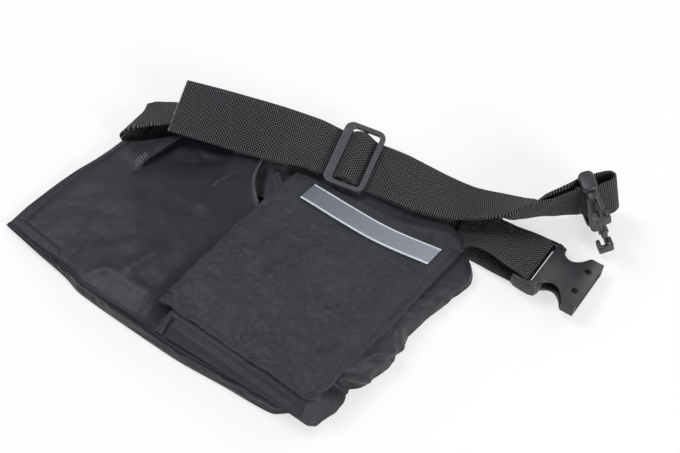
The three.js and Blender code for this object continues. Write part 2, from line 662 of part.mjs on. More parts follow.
// The female half: cheeks and bar for the webbing, a waisted hollow body and a mouth at its end
function femaleBuckle() {
  const wide = FEMALE.halfWidth;
  const waist = [];
  for (let i = 0; i <= ROUND_SEGMENTS + 1; i += 1) {
    const share = i / (ROUND_SEGMENTS + 1);
    waist.push([lerp(11, 30, share), -wide + 2 + 8.5 * Math.sin(Math.PI * share) ** 0.8]);
  }
  const outline = mirrored([
    [-3, -FEMALE.slotHalf], [-6, -FEMALE.slotHalf], [-6, -wide + 0.7], [-5.2, -wide], [8, -wide], ...waist,
    [31.5, -wide], [FEMALE.mouth, -wide + 0.6],
  ]);
  const slotMiddle = (FEMALE.slot[0] + FEMALE.slot[1]) / 2;
  const box = (x, y, z) => new THREE.BoxGeometry(x, y, z);
  const slot = box(FEMALE.slot[1] - FEMALE.slot[0], 2 * FEMALE.slotHalf, 3 * FEMALE.thickness);
  const spare = (FEMALE.thickness - FEMALE.barThickness) / 2;
  const barTrim = box(8, 2 * FEMALE.slotHalf, spare).translate(0, 0, FEMALE.thickness / 2 - spare / 2);
  const barUnder = box(8, 2 * FEMALE.slotHalf, spare).translate(0, 0, spare / 2 - FEMALE.thickness / 2);
  const hollow = box(28, 2 * wide - 7, 6).translate(FEMALE.mouth - 13, 0, 0);
  let body = solidOf(plate(outline, FEMALE.thickness, 0.8));
  const cuts = [slot.translate(slotMiddle, 0, 0), barTrim, barUnder, hollow];
  for (const side of [-1, 1]) {
    const dimple = new THREE.CylinderGeometry(2.5, 2.5, 1.6, 12).rotateX(Math.PI / 2);
    cuts.push(dimple.translate(34, 9.5 * side, FEMALE.thickness / 2));
  }
  for (const cut of cuts) body = body.subtract(solidOf(cut));
  return geometryOf(body);
}

function piece(name, geometry, finish) {
  const mesh = new THREE.Mesh(geometry, new THREE.MeshStandardMaterial(finish));
  mesh.name = name;
  return mesh;
}

// A buckle half set on its place
function placed(mesh, place) {
  mesh.applyMatrix4(placement(place));
  return mesh;
}

// The slider lies in the plane of the belt, a little towards its upper edge
function onBelt(mesh) {
  const { forward, width, normal, middle } = sliderFrame(route(BELT_RUN, SLIDER_STEP));
  mesh.quaternion.setFromRotationMatrix(new THREE.Matrix4().makeBasis(forward, width, normal));
  mesh.position.copy(middle).addScaledVector(width, SLIDER_PLACE.aside);
  return mesh;
}

const pack = new THREE.Group();
pack.add(
  piece('back_panel', backPanel(), NYLON),
  piece('main_pocket', mainPocket(), NYLON),
  piece('top_band', topBand(), NYLON),
  piece('front_pocket', frontPocket(), NYLON),
  piece('flap', flap(), FLAP_NYLON),
  piece('label', label(), WOVEN_LABEL),
  piece('waist_strap', waistStrap(), WEBBING_FINISH),
  piece('buckle_strap', buckleStrap(), WEBBING_FINISH),
  onBelt(piece('slider', slider(), PLASTIC)),
  placed(piece('buckle_male', maleBuckle(), PLASTIC), MALE_PLACE),
  placed(piece('buckle_female', femaleBuckle(), PLASTIC), FEMALE_PLACE),
);

export default pack;
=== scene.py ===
"""Looks of a nylon hip pack that lies on its back, with its belt unclipped and drawn across its top.

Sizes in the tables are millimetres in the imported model's frame: the table at Z = 0, +X along the flap's lower
edge and +Y towards the belt. Every piece is a surface worked out as whole arrays of points.
"""

import bpy
import numpy as np
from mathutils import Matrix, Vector


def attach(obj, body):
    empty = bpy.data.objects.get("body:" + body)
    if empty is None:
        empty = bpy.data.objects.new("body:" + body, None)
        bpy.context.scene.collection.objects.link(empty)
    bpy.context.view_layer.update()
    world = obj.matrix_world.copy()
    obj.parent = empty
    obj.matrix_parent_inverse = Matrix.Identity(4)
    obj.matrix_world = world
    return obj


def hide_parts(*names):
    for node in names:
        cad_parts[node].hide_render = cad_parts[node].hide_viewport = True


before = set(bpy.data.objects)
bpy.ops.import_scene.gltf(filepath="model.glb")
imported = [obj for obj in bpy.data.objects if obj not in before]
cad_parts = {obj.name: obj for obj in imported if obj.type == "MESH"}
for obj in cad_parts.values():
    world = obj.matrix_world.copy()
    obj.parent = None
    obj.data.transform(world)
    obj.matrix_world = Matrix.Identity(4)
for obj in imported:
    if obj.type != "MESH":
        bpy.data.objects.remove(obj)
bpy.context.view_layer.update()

MM = 0.001

# Driving sizes
CLOTH = 1.6  # thickness of the cloth walls
CLOTH_GAP = 1.3  # between the flap and the pocket below it
WEBBING_WIDTH = 38.0
WEBBING = 1.7  # its thickness
WEBBING_STEP = 0.44  # between the stations along it
WEBBING_COUNT = 25  # points across it
RIB_TURN = 4.8  # angle of the webbing's rib wave for each millimetre along it
LAYER_GAP = 0.5  # between the two layers of the belt
EASE_REACH = 24  # stations averaged on each side of a joint of two runs
BELT_Z = 2.95  # middle of the webbing that lies on the back panel
FOOT_Z = 2.2  # foot of the wide pocket's wall
FLANGE = 1.5  # how far the wall reaches out where it lies flat
RIGHT_SEAM = 112.0
FLAP_LEFT, FLAP_RIGHT, FLAP_BOTTOM = -3.2, 122.0, -69.5
FLAP_TOP_LEFT, FLAP_TOP_RISE = 67.0, 0.09
FLAP_LENGTH = 140.0  # about its length from top to bottom, for its stitches
LABEL_HEIGHT, LABEL_THICKNESS, LABEL_GAP = 16.0, 0.8, 0.7
SLIDER_X = 24.0
SLIDER_LENGTH, SLIDER_WIDTH, SLIDER_THICKNESS, SLIDER_CORNER = 29.0, 50.0, 3.0, 6.0
SLIDER_BAR, SLIDER_RAIL, SLIDER_OFFSET, SLIDER_INNER_CORNER = 5.0, 3.5, 0.7, 2.0
SLIDER_LEFT_BAR = 1.2  # how much wider its left bar is than its right one, halved
MALE_PLACE = dict(x=169.6, y=155.1, z=24.3, yaw=-40.0, roll=103.0)
FEMALE_PLACE = dict(x=161.5, y=102.2, z=8.7, yaw=3.0, roll=-8.0)
FEMALE_HALF = 21.4
MALE_ARM = [
    (9, 15.5), (16, 14.6), (22, 12.6), (27.6, 11.6), (29, 12.6), (29.4, 14.2),
    (27, 18.6), (23.6, 20.6), (21.6, 20.8), (21.2, 19.2), (15, 19.6), (9, 20.4)]
FEMALE_CHEEK = [
    (-4.6, 19.2), (6, 19), (8, 17.4), (12.2, 17.2), (13.6, 19.2),
    (12.8, 21.8), (9.6, 23), (4, 22.9), (-1.6, 22.2), (-4.6, 20.8)]
BAR_TURN_MIDDLE, BAR_TURN_RADIUS = 0.8, 4.6
SHARP_ANGLE = 42.0  # moulded edges that turn more steeply stay sharp
STITCH_PITCH, STITCH_OUTSIDE = 2.6, 1.2  # along the flap's hem, and outside its groove
TACK_SHIFT, TACK_DIRECTION = (-3.3, 1.2), (0.9, -0.42, 0.0)  # the bar tack's threads, from the pleat's edge

# Camera of the photograph
CAMERA_TARGET = (43.0, 54.5, 0.0)
CAMERA_AZIMUTH, CAMERA_ELEVATION, CAMERA_DISTANCE = 37.0, 55.0, 872.5
CAMERA_LENS, CAMERA_SENSOR = 70.0, 36.0


def table(columns, rows):
    """Named columns of a table, as arrays."""
    return dict(zip(columns.split(), np.array(rows, float).T))


BAND_EDGES = table("x top low", [
    (-108, 57, 21), (-60, 66, 30), (0, 78.5, 41), (40, 86.5, 47.6), (60, 89.5, 51),
    (84, 92.2, 58), (98, 93.2, 70), (112, 90.8, 78.5), (119, 87.6, 79.6), (121.8, 86, 80.1)])
BOTTOM_EDGE = table("x y", [
    (-131, -76), (-90, -80.8), (-64, -82.5), (-50, -85.4), (10, -85.4), (32, -84.6), (60, -81.6), (91, -78.8),
    (98, -76), (112, -62)])
LEFT_EDGE = table("y x", [
    (-78, -131), (-58, -130), (-40, -128), (-21, -124.5), (-5, -119.8), (12, -116), (35, -112), (57, -108)])
MAIN_SECTIONS = table("x mouth_y mouth_z crown shoulder seam upright", [
    (-121, 17, 8, 5.2, 4.3, 3.9, 0),
    (-108, 27, 9.3, 8.5, 6.2, 4.8, 0.1),
    (-88, 45, 10.5, 11.5, 9, 7.5, 0.5),
    (-60, 57, 9.8, 14, 13, 11.5, 1),
    (-40, 67, 11.6, 16, 16.4, 13.6, 1),
    (-35.5, 61.8, 12.4, 16.5, 17.2, 14, 1),
    (-30.8, 50.8, 13.2, 16.9, 17.8, 14.4, 1),
    (-27, 44.8, 13.6, 17.1, 18, 14.7, 1),
    (-22.4, 39.3, 14, 17.3, 18, 15, 1),
    (-14.7, 33.1, 14.2, 17.5, 18, 15.4, 1),
    (-8, 29, 14, 17.4, 17.8, 15.4, 1),
    (12, 25, 11, 12.5, 13.6, 13.3, 1),
    (60, 27, 10.5, 12, 13.4, 13.5, 1),
    (96, 36, 9, 10, 12, 13, 1),
    (112, 40, 5.6, 4.4, 4.2, 4, 0)])
MAIN_LEFT = -121.0
MAIN_SPREAD = table("share x", [(0, MAIN_LEFT), (0.84, 6), (1, RIGHT_SEAM)])
FRONT_SHARE = 0.78
CROWN_AT, SHOULDER_AT = 0.5, 0.86
FOLDS = "from_x from_y to_x to_y width lift"
MAIN_FOLDS = table(FOLDS, [
    (-59, -82, -54, -75, 4, 0.4),
    (-54, -75, -48.5, -69, 4, 0.5),
    (-48.5, -69, -8, -67, 4.5, 0.7),
    (-46, -76, -10, -75, 5, -0.4),
    (-36, -60, -30, -38, 5, 1.2),
    (-41, 54, -36.5, 28, 4.5, 1.5),
    (-36.5, 28, -31, 6, 5, 1.1),
    (-33.5, 38, -35, 22, 1.1, -0.8),
    (-70, -20, -52, -44, 9, 0.7),
    (-100, -30, -84, -60, 8, -0.8)])
PLEAT_FROM, PLEAT_TO = (-89.2, 5.0), (-82.6, 44.0)
HOLLOW_FROM, HOLLOW_TO = (-90.0, 4.0), (-44.0, 34.0)
FLAP_PROFILE = table("down z", [
    (0, 11.4), (0.1, 14), (0.25, 17.8), (0.45, 22), (0.65, 24), (0.85, 25), (1, 24.6)])
FLAP_FOLDS = table(FOLDS, [
    (42, 37, 35, -8, 1.8, 0.5),
    (52, 34, 38, -18, 7, 0.9),
    (4, -58, 34, -50, 6, 1.4),
    (84, -64, 108, -38, 7, 1.4),
    (114, -20, 104, 26, 6, 0.9)])
FLAP_CORNER_START, FLAP_CORNER_DROOP, FLAP_CORNER_SWEEP = 109.0, 0.008, 0.09
FLAP_TAPER = 5.0
FLAP_SIDE_START, FLAP_SIDE_DROOP = 8.0, 0.018
FLAP_HEM = 4.2
LABEL_LINE = table("x y", [(15, 56.3), (65, 56.3), (90, 59.4), (111.5, 63.4)])
SIDE_REACH = table("y x bulge", [
    (-71, 119.5, 0), (-60, 121.6, -4), (-46, 123.8, -5), (-30, 126.4, 1), (-13, 131, 1), (-4, 130.5, 0.5),
    (8, 128.2, -1), (26, 129, 0), (37, 131.6, 0.5), (50, 133.8, 0.5), (64, 137, 0), (69, 137.4, 0),
    (76, 133.5, 0), (84, 124, 0)])
FRONT_ACROSS = table("at span lift bulge mouth_y lower_y foot", [
    (0, 0, 0, 0, 44, -84.6, 15.9),
    (0.06, 0.012, 0.75, 0, 44, -84.6, 15.9),
    (0.12, 0.05, 1, 0, 44, -84.5, 15.9),
    (0.62, 0.83, 1, 0, 71, -79.6, 15.6),
    (0.76, 0.925, 0.93, 0.2, 79, -78.4, 13.5),
    (0.89, 0.98, 0.5, 1, 82, -76, 7.5),
    (1, 1, 0, 0, 82, -71, 0.9)])
SIDE_FOLDS = table("from_y from_down to_y to_down width lift", [
    (6, 1, 3, 26, 4.2, 2.1), (0, 3, -2, 25, 2.4, -1.5),
    (-19, 6, -4, 20, 2.6, 1.6), (-22, 8, -9, 22, 2.2, -1.2),
    (-44, 8, -29, 22, 2.6, 3.4), (-54, 8, -41, 24, 4.8, -5.8),
    (-44, 17, -41.5, 25, 1.2, 2.0), (-62, 8, -58, 22, 5.0, 2.0),
    (20, 4, 24, 22, 2.6, 0.9), (34, 3, 40, 20, 2.2, 1.0),
    (46, 2, 52, 18, 2.0, 1.1), (56, 4, 60, 20, 2.2, 0.9),
    (28, 4, 32, 22, 2.0, -0.8), (41, 4, 46, 20, 1.8, -0.8), (52, 4, 57, 18, 1.6, -0.8)])
SIDE_START, SIDE_DROP, SIDE_SPAN = 0.74, 26.0, 70.0
FRONT_LEFT = 5.0
FRONT_DOWN = table("at run lift", [(0, 0, 1), (0.72, 0.84, 1), (0.87, 0.93, 0.82), (1, 1, 0)])
LEAST_RISE = 2.0
BAND_PROFILE = table("down z", [(0, 6.8), (0.35, 7.3), (1, 6.1)])
BAND_FOLDS = table(FOLDS, [
    (-25, 61, -14, 66, 3, 2.8), (-22, 55, -15, 42, 3.5, -2), (-13, 60, -2, 52, 2.6, 2),
    (30, 76, 44, 80, 3, 0.6), (76, 76, 108, 86, 3, 1.2)])
BAND_CREASE = (69.0, 74.0, 72.0, 90.0)
BELT = "x y z heading rise"
BELT_END = table(BELT, [
    (-58, 48, BELT_Z, 101, 0), (-84, 43.5, BELT_Z, 100, 0), (-112, 38.8, BELT_Z, 100, 0),
    (-118.2, 37.7, 3.8, 99, -2), (-120.6, 37.6, 7, 96, -7), (-118.2, 39.2, 10.6, 97, -13),
    (-112.6, 44.5, 12.5, 103, -20.5), (-106.2, 51, 12.2, 111, -26.4), (-97.6, 57.6, 11.4, 115, -29),
    (-84, 62.6, 11, 112, -17), (-62, 70, 14.4, 109, 0), (-38, 78, 17.6, 107, 11)])
BELT_RUN = [
    (-2, 87.4, 21, 106, 6.4), (10, 91.1, 19.35, 106, 5.8), (24, 95.2, 17.4, 106, 6),
    (40, 99.5, 15.7, 105, 5.5), (72, 103.6, 13, 103, -1), (101, 111.4, 11.8, 106, -15)]
BELT_UPPER = table(BELT, BELT_RUN + [
    (122.9, 123.2, 13, 115, -30), (134.1, 128.7, 16, 114, -40.6), (141.6, 132.1, 19.5, 110.5, -49),
    (147.8, 137.2, 22, 101, -63.5), (154.5, 143.8, 23.8, 88, -71.6), (160.6, 153, 23.5, 66, -75.5)])
BELT_LOWER = table(BELT, BELT_RUN + [
    (129.8, 116.8, 16.2, 108.5, -56), (136.9, 124.3, 18.4, 104.2, -61.9), (143.4, 131.9, 19.5, 99.7, -65.5),
    (150.7, 138.4, 20.5, 97.3, -66.2), (157.3, 145.8, 21.5, 89.7, -70.5), (163.6, 152.2, 22.5, 76.6, -74)])
BELT_TAIL = table(BELT, [(-37.9, 70.5, 26.8, 108, 34), (-66, 62, 27, 108, 28), (-94, 54, 26, 108, 22)])
BELT_LOOP = table("out past", [
    (4, 0), (3.2, 9), (2.4, 15), (-0.4, 18), (-3.8, 16.2), (-5.4, 9), (-5.7, 0)])
SLIDER_WEAVE = table("along z", [
    (-27, -1.6), (-16.5, -4.4), (-10, -4.3), (-2.2, 2.1), (2.2, 2.1),
    (10, -4.3), (16, -4.3), (23, -3), (33, -0.8), (42, 0)])
SHORT_LOWER = table(BELT, [
    (60, 89, BELT_Z, 100, 0), (96, 96.4, BELT_Z, 98, 0), (126, 101, BELT_Z, 96, 0), (148, 101, 3.4, 94, -5)])
SHORT_UPPER = table(BELT, [
    (150, 102.4, 13.8, 94, -13), (139, 102.4, 13.2, 95, -20), (128, 102, 11.4, 96, -20),
    (118, 101, 7.6, 97, -8), (108, 98.4, BELT_Z + WEBBING + LAYER_GAP, 97, 0)])


def cubic(t, width, start, end, start_slope, end_slope):
    """The cubic between two values with given slopes at both ends, t running from 0 to 1 over a width."""
    early = (2 * t**3 - 3 * t**2 + 1) * start + (t**3 - 2 * t**2 + t) * width * start_slope
    return early + (3 * t**2 - 2 * t**3) * end + (t**3 - t**2) * width * end_slope


def along(rows, key, at, column):
    """A column's value at a value of the key: a cubic through the rows, sloped as their neighbours."""
    keys, values = rows[key], rows[column]
    count = np.arange(len(keys))
    before, after = np.maximum(count - 1, 0), np.minimum(count + 1, len(keys) - 1)
    slopes = (values[after] - values[before]) / (keys[after] - keys[before])
    at = np.clip(at, keys[0], keys[-1])
    i = np.clip(np.searchsorted(keys, at) - 1, 0, len(keys) - 2)
    width = keys[i + 1] - keys[i]
    return cubic((at - keys[i]) / width, width, values[i], values[i + 1], slopes[i], slopes[i + 1])


def smooth(value, low, high):
    """0 below low, 1 above high, and an S-curve between."""
    t = np.clip((value - low) / (high - low), 0, 1)
    return t * t * (3 - 2 * t)


def lerp(a, b, t):
    """a at t = 0 and b at t = 1."""
    return a + (b - a) * t


def bell(distance, width):
    """1 at no distance, falling off on both sides as the exponential of the square of distance over width."""
    return np.exp(-((distance / width) ** 2))


def unit(vectors):
    """Vectors at length 1."""
    return vectors / np.linalg.norm(vectors, axis=-1, keepdims=True)


def run_of(line):
    """Run length from the first point of a line to each of its points."""
    return np.concatenate([[0], np.cumsum(np.linalg.norm(np.diff(line, axis=0), axis=-1))])


def line_frame(x, y, from_x, from_y, to_x, to_y):
    """Share along a line, and signed distance to its right, of points in plan."""
    run_x, run_y = to_x - from_x, to_y - from_y
    length = np.hypot(run_x, run_y)
    share = ((x - from_x) * run_x + (y - from_y) * run_y) / length**2
    aside = ((x - from_x) * run_y - (y - from_y) * run_x) / length
    return share, aside


def ridges(folds, x, y):
    """Sum of soft ridges: each a bell across its line, ending softly past the line's ends."""
    total = np.zeros_like(x)
    for from_x, from_y, to_x, to_y, width, lift in zip(*folds.values()):
        share, _ = line_frame(x, y, from_x, from_y, to_x, to_y)
        nearest = np.clip(share, 0, 1)
        distance = np.hypot(x - lerp(from_x, to_x, nearest), y - lerp(from_y, to_y, nearest))
        total = total + lift * bell(distance, width)
    return total


def ripple(x, y, size, seed):
    """Smooth random heights from -1 to 1: random values on a square lattice, blended by an S-curve."""
    count = 64
    lattice = np.random.default_rng(seed).uniform(-1, 1, (count, count))
    gx, gy = x / size + 17.3, y / size + 31.7
    i, j = np.floor(gx).astype(int), np.floor(gy).astype(int)
    fx, fy = smooth(gx - i, 0, 1), smooth(gy - j, 0, 1)
    corner = lambda a, b: lattice[(i + a) % count, (j + b) % count]
    return lerp(lerp(corner(0, 0), corner(1, 0), fx), lerp(corner(0, 1), corner(1, 1), fx), fy)


def crumple(x, y, count, length, width, seed):
    """Sharp random creases: each a short line whose height falls off straight with the distance from it."""
    rng = np.random.default_rng(seed)
    total = np.zeros_like(x)
    low_x, high_x, low_y, high_y = x.min(), x.max(), y.min(), y.max()
    for _ in range(count):
        middle_x, middle_y = rng.uniform(low_x, high_x), rng.uniform(low_y, high_y)
        turn, reach = rng.uniform(0, np.pi), length * rng.uniform(0.5, 1.5)
        spread, lift = width * rng.uniform(0.5, 1.5), rng.uniform(-1, 1)
        ahead = (x - middle_x) * np.cos(turn) + (y - middle_y) * np.sin(turn)
        aside = (y - middle_y) * np.cos(turn) - (x - middle_x) * np.sin(turn)
        total = total + lift * np.exp(-((ahead / reach) ** 2) - np.abs(aside) / spread)
    return total


def creased(x, y, size, seed):
    """Papery creases: smooth random heights folded at their middle, in three sizes, about zero."""
    parts = [share * np.abs(ripple(x, y, size * share, seed + k)) for k, share in enumerate((1.0, 0.55, 0.3))]
    return sum(parts) - 0.6


def grid(across, down):
    """Two parameters from 0 to 1 on a grid."""
    return np.meshgrid(np.linspace(0, 1, across), np.linspace(0, 1, down), indexing="ij")


def normals_of(points):
    """Unit normals of a grid of points: first direction crossed with the second."""
    normal = np.cross(np.gradient(points, axis=0), np.gradient(points, axis=1))
    return normal / np.maximum(np.linalg.norm(normal, axis=-1, keepdims=True), 1e-9)


def skin_faces(rows, columns):
    """Quads of two matching grids, one over the other, joined round their rim."""
    index = np.arange(rows * columns).reshape(rows, columns)
    face = np.stack([index[:-1, :-1], index[1:, :-1], index[1:, 1:], index[:-1, 1:]], -1).reshape(-1, 4)
    rim = np.concatenate([index[:-1, 0], index[-1, :-1], index[:0:-1, -1], index[0, :0:-1]])
    following = np.roll(rim, -1)
    size = rows * columns
    edge = np.stack([following, rim, rim + size, following + size], -1)
    return np.concatenate([face, face[:, ::-1] + size, edge])


def add_mesh(name, points, faces, material, cloth=None):
    """A mesh object from points in millimetres, with its cloth coordinates as an attribute in metres."""
    mesh = bpy.data.meshes.new(name)
    mesh.from_pydata((np.asarray(points).reshape(-1, 3) * MM).tolist(), [], [list(face) for face in faces])
    mesh.shade_smooth()
    if cloth is not None:
        attribute = mesh.attributes.new("cloth", "FLOAT_VECTOR", "POINT")
        attribute.data.foreach_set("vector", (np.asarray(cloth).reshape(-1, 3) * MM).ravel())
    mesh.materials.append(material)
    obj = bpy.data.objects.new(name, mesh)
    bpy.context.scene.collection.objects.link(obj)
    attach(obj, "root")
    return obj


def add_cloth(name, outer, thickness, material, cloth):
    """A closed cloth wall: the outer grid, and the same grid set in along its normals."""
    inner = outer - normals_of(outer) * thickness
    points = np.concatenate([outer.reshape(-1, 3), inner.reshape(-1, 3)])
    both = np.concatenate([cloth.reshape(-1, 3), cloth.reshape(-1, 3)])
    return add_mesh(name, points, skin_faces(*outer.shape[:2]), material, both)


# Shader maths


class Wire:
    """An output socket; arithmetic on it adds Math nodes."""

    def __init__(self, socket):
        self.socket = socket

    def math(self, operation, *values):
        node = self.socket.node.id_data.nodes.new("ShaderNodeMath")
        node.operation = operation
        for slot, value in zip(node.inputs, values):
            feed(slot, value)
        return Wire(node.outputs[0])

    def __add__(self, other):
        return self.math("ADD", self, other)

    def __radd__(self, other):
        return self.math("ADD", other, self)

    def __sub__(self, other):
        return self.math("SUBTRACT", self, other)

    def __rsub__(self, other):
        return self.math("SUBTRACT", other, self)

    def __mul__(self, other):
        return self.math("MULTIPLY", self, other)

    def __rmul__(self, other):
        return self.math("MULTIPLY", other, self)

    def sine(self):
        return self.math("SINE", self)

    def absolute(self):
        return self.math("ABSOLUTE", self)

    def clamped(self):
        return self.math("MINIMUM", self.math("MAXIMUM", self, 0.0), 1.0)

    def above(self, level):
        return self.math("GREATER_THAN", self, level)


def feed(slot, value):
    """Links a wire to an input socket, or sets the socket's own value."""
    if isinstance(value, Wire):
        slot.node.id_data.links.new(value.socket, slot)
    else:
        slot.default_value = value


class Finish:
    """A material: one shader, with the nodes that feed it."""

    def __init__(self, name, **constants):
        self.material = bpy.data.materials.new(name)
        self.material.use_nodes = True
        self.tree = self.material.node_tree
        self.shader = self.tree.nodes["Principled BSDF"]
        for socket, value in constants.items():
            self.shader.inputs[socket.replace("_", " ")].default_value = value

    def add(self, kind, settings=None, sockets=None, output=0):
        """Adds a node: its settings first, then the values or links of its sockets."""
        node = self.tree.nodes.new(kind)
        for key, value in (settings or {}).items():
            setattr(node, key, value)
        for slot, value in (sockets or {}).items():
            feed(node.inputs[slot], value)
        return Wire(node.outputs[output])

    def place(self):
        """Object coordinates."""
        return self.add("ShaderNodeTexCoord", output="Object")

    def cloth(self):
        """Cloth coordinates in millimetres: along and across."""
        vector = self.add("ShaderNodeAttribute", {"attribute_name": "cloth"}, output="Vector")
        split = self.add("ShaderNodeSeparateXYZ", sockets={0: vector})
        along_socket, across_socket, _ = split.socket.node.outputs
        return Wire(along_socket) * 1000.0, Wire(across_socket) * 1000.0

    def noise(self, scale, detail, roughness):
        """Cloudy noise from 0 to 1 on Object coordinates."""
        sockets = {"Scale": scale, "Detail": detail, "Roughness": roughness, "Vector": self.place()}
        return self.add("ShaderNodeTexNoise", sockets=sockets)

    def mix(self, share, first, second):
        """The first colour where the share is 0, the second where it is 1."""
        sockets = {0: share, 6: first, 7: second}
        return self.add("ShaderNodeMix", {"data_type": "RGBA"}, sockets, output=2)

    def bump(self, height, distance, strength, normal=None):
        """A normal tilted by a height, over another normal where one is given."""
        sockets = {"Height": height, "Distance": distance, "Strength": strength}
        if normal:
            sockets["Normal"] = normal
        return self.add("ShaderNodeBump", sockets=sockets)

    def set(self, **links):
        """Feeds the shader's sockets, and hands back the material."""
        for socket, value in links.items():
            feed(self.shader.inputs[socket.replace("_", " ")], value)
        return self.material


def grey(level, blue=0.0):
    """A near-black colour, leaning to blue."""
    return (level * (1 - 0.4 * blue), level * (1 - 0.25 * blue), level * (1 + blue), 1.0)


def nylon(name, dark, light, blue, rough, crinkle):
    """Coated nylon: cloudy tone, fine plain weave, and small crinkles that catch the light."""
    finish = Finish(name, Specular_IOR_Level=0.3, Sheen_Weight=0.06, Sheen_Roughness=0.45)
    clouds = finish.noise(28.0, 5.0, 0.6)
    fine = finish.noise(260.0, 4.0, 0.65)
    across, down = finish.cloth()
    weave = (across * 7.4).sine() * (down * 7.4).sine()
    creases = finish.add(
        "ShaderNodeTexVoronoi", {"feature": "DISTANCE_TO_EDGE"}, {"Vector": finish.place(), "Scale": 130.0})
    height = fine * 0.5 + creases * 0.9
    soft = finish.bump(height, 0.0006, crinkle)
    normal = finish.bump(weave, 0.00006, 0.35, soft)
    tone = (clouds * 1.7 - 0.35 + fine * 0.25).clamped()
    return finish.set(
        Base_Color=finish.mix(tone, grey(dark, blue), grey(light, blue)),
        Roughness=rough + (fine - 0.5) * 0.16 + (clouds - 0.5) * 0.1,
        Normal=normal)


def webbing_finish():
    """Woven webbing: staggered bird's-eye dots in the middle, plain cross ribs along both edges."""
    finish = Finish("webbing", Specular_IOR_Level=0.12, Sheen_Weight=0.02, Sheen_Roughness=0.5)
    ahead, across = finish.cloth()
    ribs = (ahead * RIB_TURN).sine()
    dots = (ahead * (RIB_TURN / 2)).sine() * (across * 2.9).sine()
    edge = (across.absolute() - 14.8).clamped()
    height = (dots * 0.75 + ribs * 0.35) * (1 - edge) + ribs * 0.8 * edge
    fibre = finish.noise(900.0, 3.0, 0.7)
    tone = (height * 0.9 + 0.24 + fibre * 0.3 - 0.15).clamped()
    return finish.set(
        Base_Color=finish.mix(tone, grey(0.0015), grey(0.12, 0.06)),
        Roughness=0.7 - height * 0.06 + (fibre - 0.5) * 0.2,
        Normal=finish.bump(height + fibre * 0.35, 0.0006, 0.9))


def label_finish():
    """Woven label: silver-grey satin with fine cross ribs, pale selvedges along its long edges, and painted
    light that grows along its length.
    """
    finish = Finish("label", Specular_IOR_Level=0.4, Sheen_Weight=0.2, Sheen_Roughness=0.4)
    ahead, across = finish.cloth()
    ribs = (ahead * 9.0).sine() * 0.5 + (across * 11.0).sine() * 0.5
    selvedge = (across.absolute() - 6.9).above(0.0)
    grain = finish.noise(420.0, 4.0, 0.7)
    # Painted light: the label grows lighter along its length, towards its right end.
    painted_light_ramp = (ahead * 0.0104).clamped()
    tone = (grain * 0.7 - 0.25 + painted_light_ramp * 0.8).clamped()
    ground = finish.mix(tone, (0.08, 0.09, 0.106, 1), (0.21, 0.223, 0.26, 1))
    return finish.set(
        Base_Color=finish.mix(selvedge * 0.75, ground, (0.62, 0.65, 0.7, 1)),
        Roughness=0.62 + (grain - 0.5) * 0.2,
        Normal=finish.bump(ribs + grain, 0.00012, 0.6))


def plastic_finish(name, dark, light, gloss):
    """Moulded plastic: satin dark grey with a fine spark-eroded grain and a few scuffs."""
    finish = Finish(name, Specular_IOR_Level=gloss)
    grain = finish.noise(1500.0, 2.0, 0.5)
    wear = finish.noise(160.0, 5.0, 0.7)
    tone = (wear * 1.6 - 0.45).clamped()
    return finish.set(
        Base_Color=finish.mix(tone, grey(dark, 0.1), grey(light, 0.1)),
        Roughness=0.4 + (wear - 0.5) * 0.25,
        Normal=finish.bump(grain, 0.00008, 0.5))


def thread_finish(name, level):
    """Twisted sewing thread."""
    finish = Finish(name, Specular_IOR_Level=0.4, Sheen_Weight=0.2)
    fibre = finish.noise(1800.0, 2.0, 0.6)
    return finish.set(
        Base_Color=finish.mix(fibre, grey(level * 0.6), grey(level * 1.3)),
        Roughness=0.6 + (fibre - 0.5) * 0.3,
        Normal=finish.bump(fibre, 0.0001, 0.5))


PANEL_NYLON = nylon("panel_nylon", 0.003, 0.01, 0.5, 0.45, 0.3)
FLAP_NYLON = nylon("flap_nylon", 0.009, 0.022, 0.2, 0.56, 0.6)
WEBBING_FINISH = webbing_finish()
LABEL_FINISH = label_finish()
PLASTIC = plastic_finish("buckle_plastic", 0.018, 0.036, 0.44)
SLIDER_PLASTIC = plastic_finish("slider_plastic", 0.034, 0.054, 0.5)
# Painted shade: near-black plastic for the discs that stand in for the female buckle's two round recesses.
RECESS_SHADE_PLASTIC = plastic_finish("recess_shade_plastic", 0.002, 0.006, 0.12)
BLACK_THREAD = thread_finish("black_thread", 0.03)
PALE_THREAD = thread_finish("pale_thread", 0.09)
EDGE_THREAD = thread_finish("edge_thread", 0.08)
FRAYED_THREAD = thread_finish("frayed_thread", 0.3)


# Cloth surfaces


def pleat(x, y):
    """The pleat below the belt: the cloth steps down from left to right across its edge."""
    share, aside = line_frame(x, y, *PLEAT_FROM, *PLEAT_TO)
    reach = smooth(share, -0.06, 0.2)
    left = 1.6 * bell(aside, 26) * (aside < 0)
    step = 1.9 * (0.5 - 0.5 * np.tanh(aside / 0.5)) * bell(aside, 16)
    return reach * (0.5 * left + step)


def hollow(x, y):
    """The pocket's mouth sinks beside the pleat: from its edge and from a line below, rising to the right."""
    beside = line_frame(x, y, *PLEAT_FROM, *PLEAT_TO)[1]
    over = -line_frame(x, y, *HOLLOW_FROM, *HOLLOW_TO)[1]
    deep = lerp(3.0, 4.4, smooth(y, 14, 32)) * (1 - 0.5 * smooth(y, 40, 54))
    inside = smooth(beside, 0, 1.2) * smooth(over, -9, 12) * (1 - smooth(x, -68, -34))
    return -deep * inside


def tuck(x, y):
    """How far the wall beside the pleat is set back under the pleat's edge."""
    share, beside = line_frame(x, y, *PLEAT_FROM, *PLEAT_TO)
    return 5 * smooth(share, 0.02, 0.3) * smooth(beside, 0, 1.4) * bell(beside, 9)


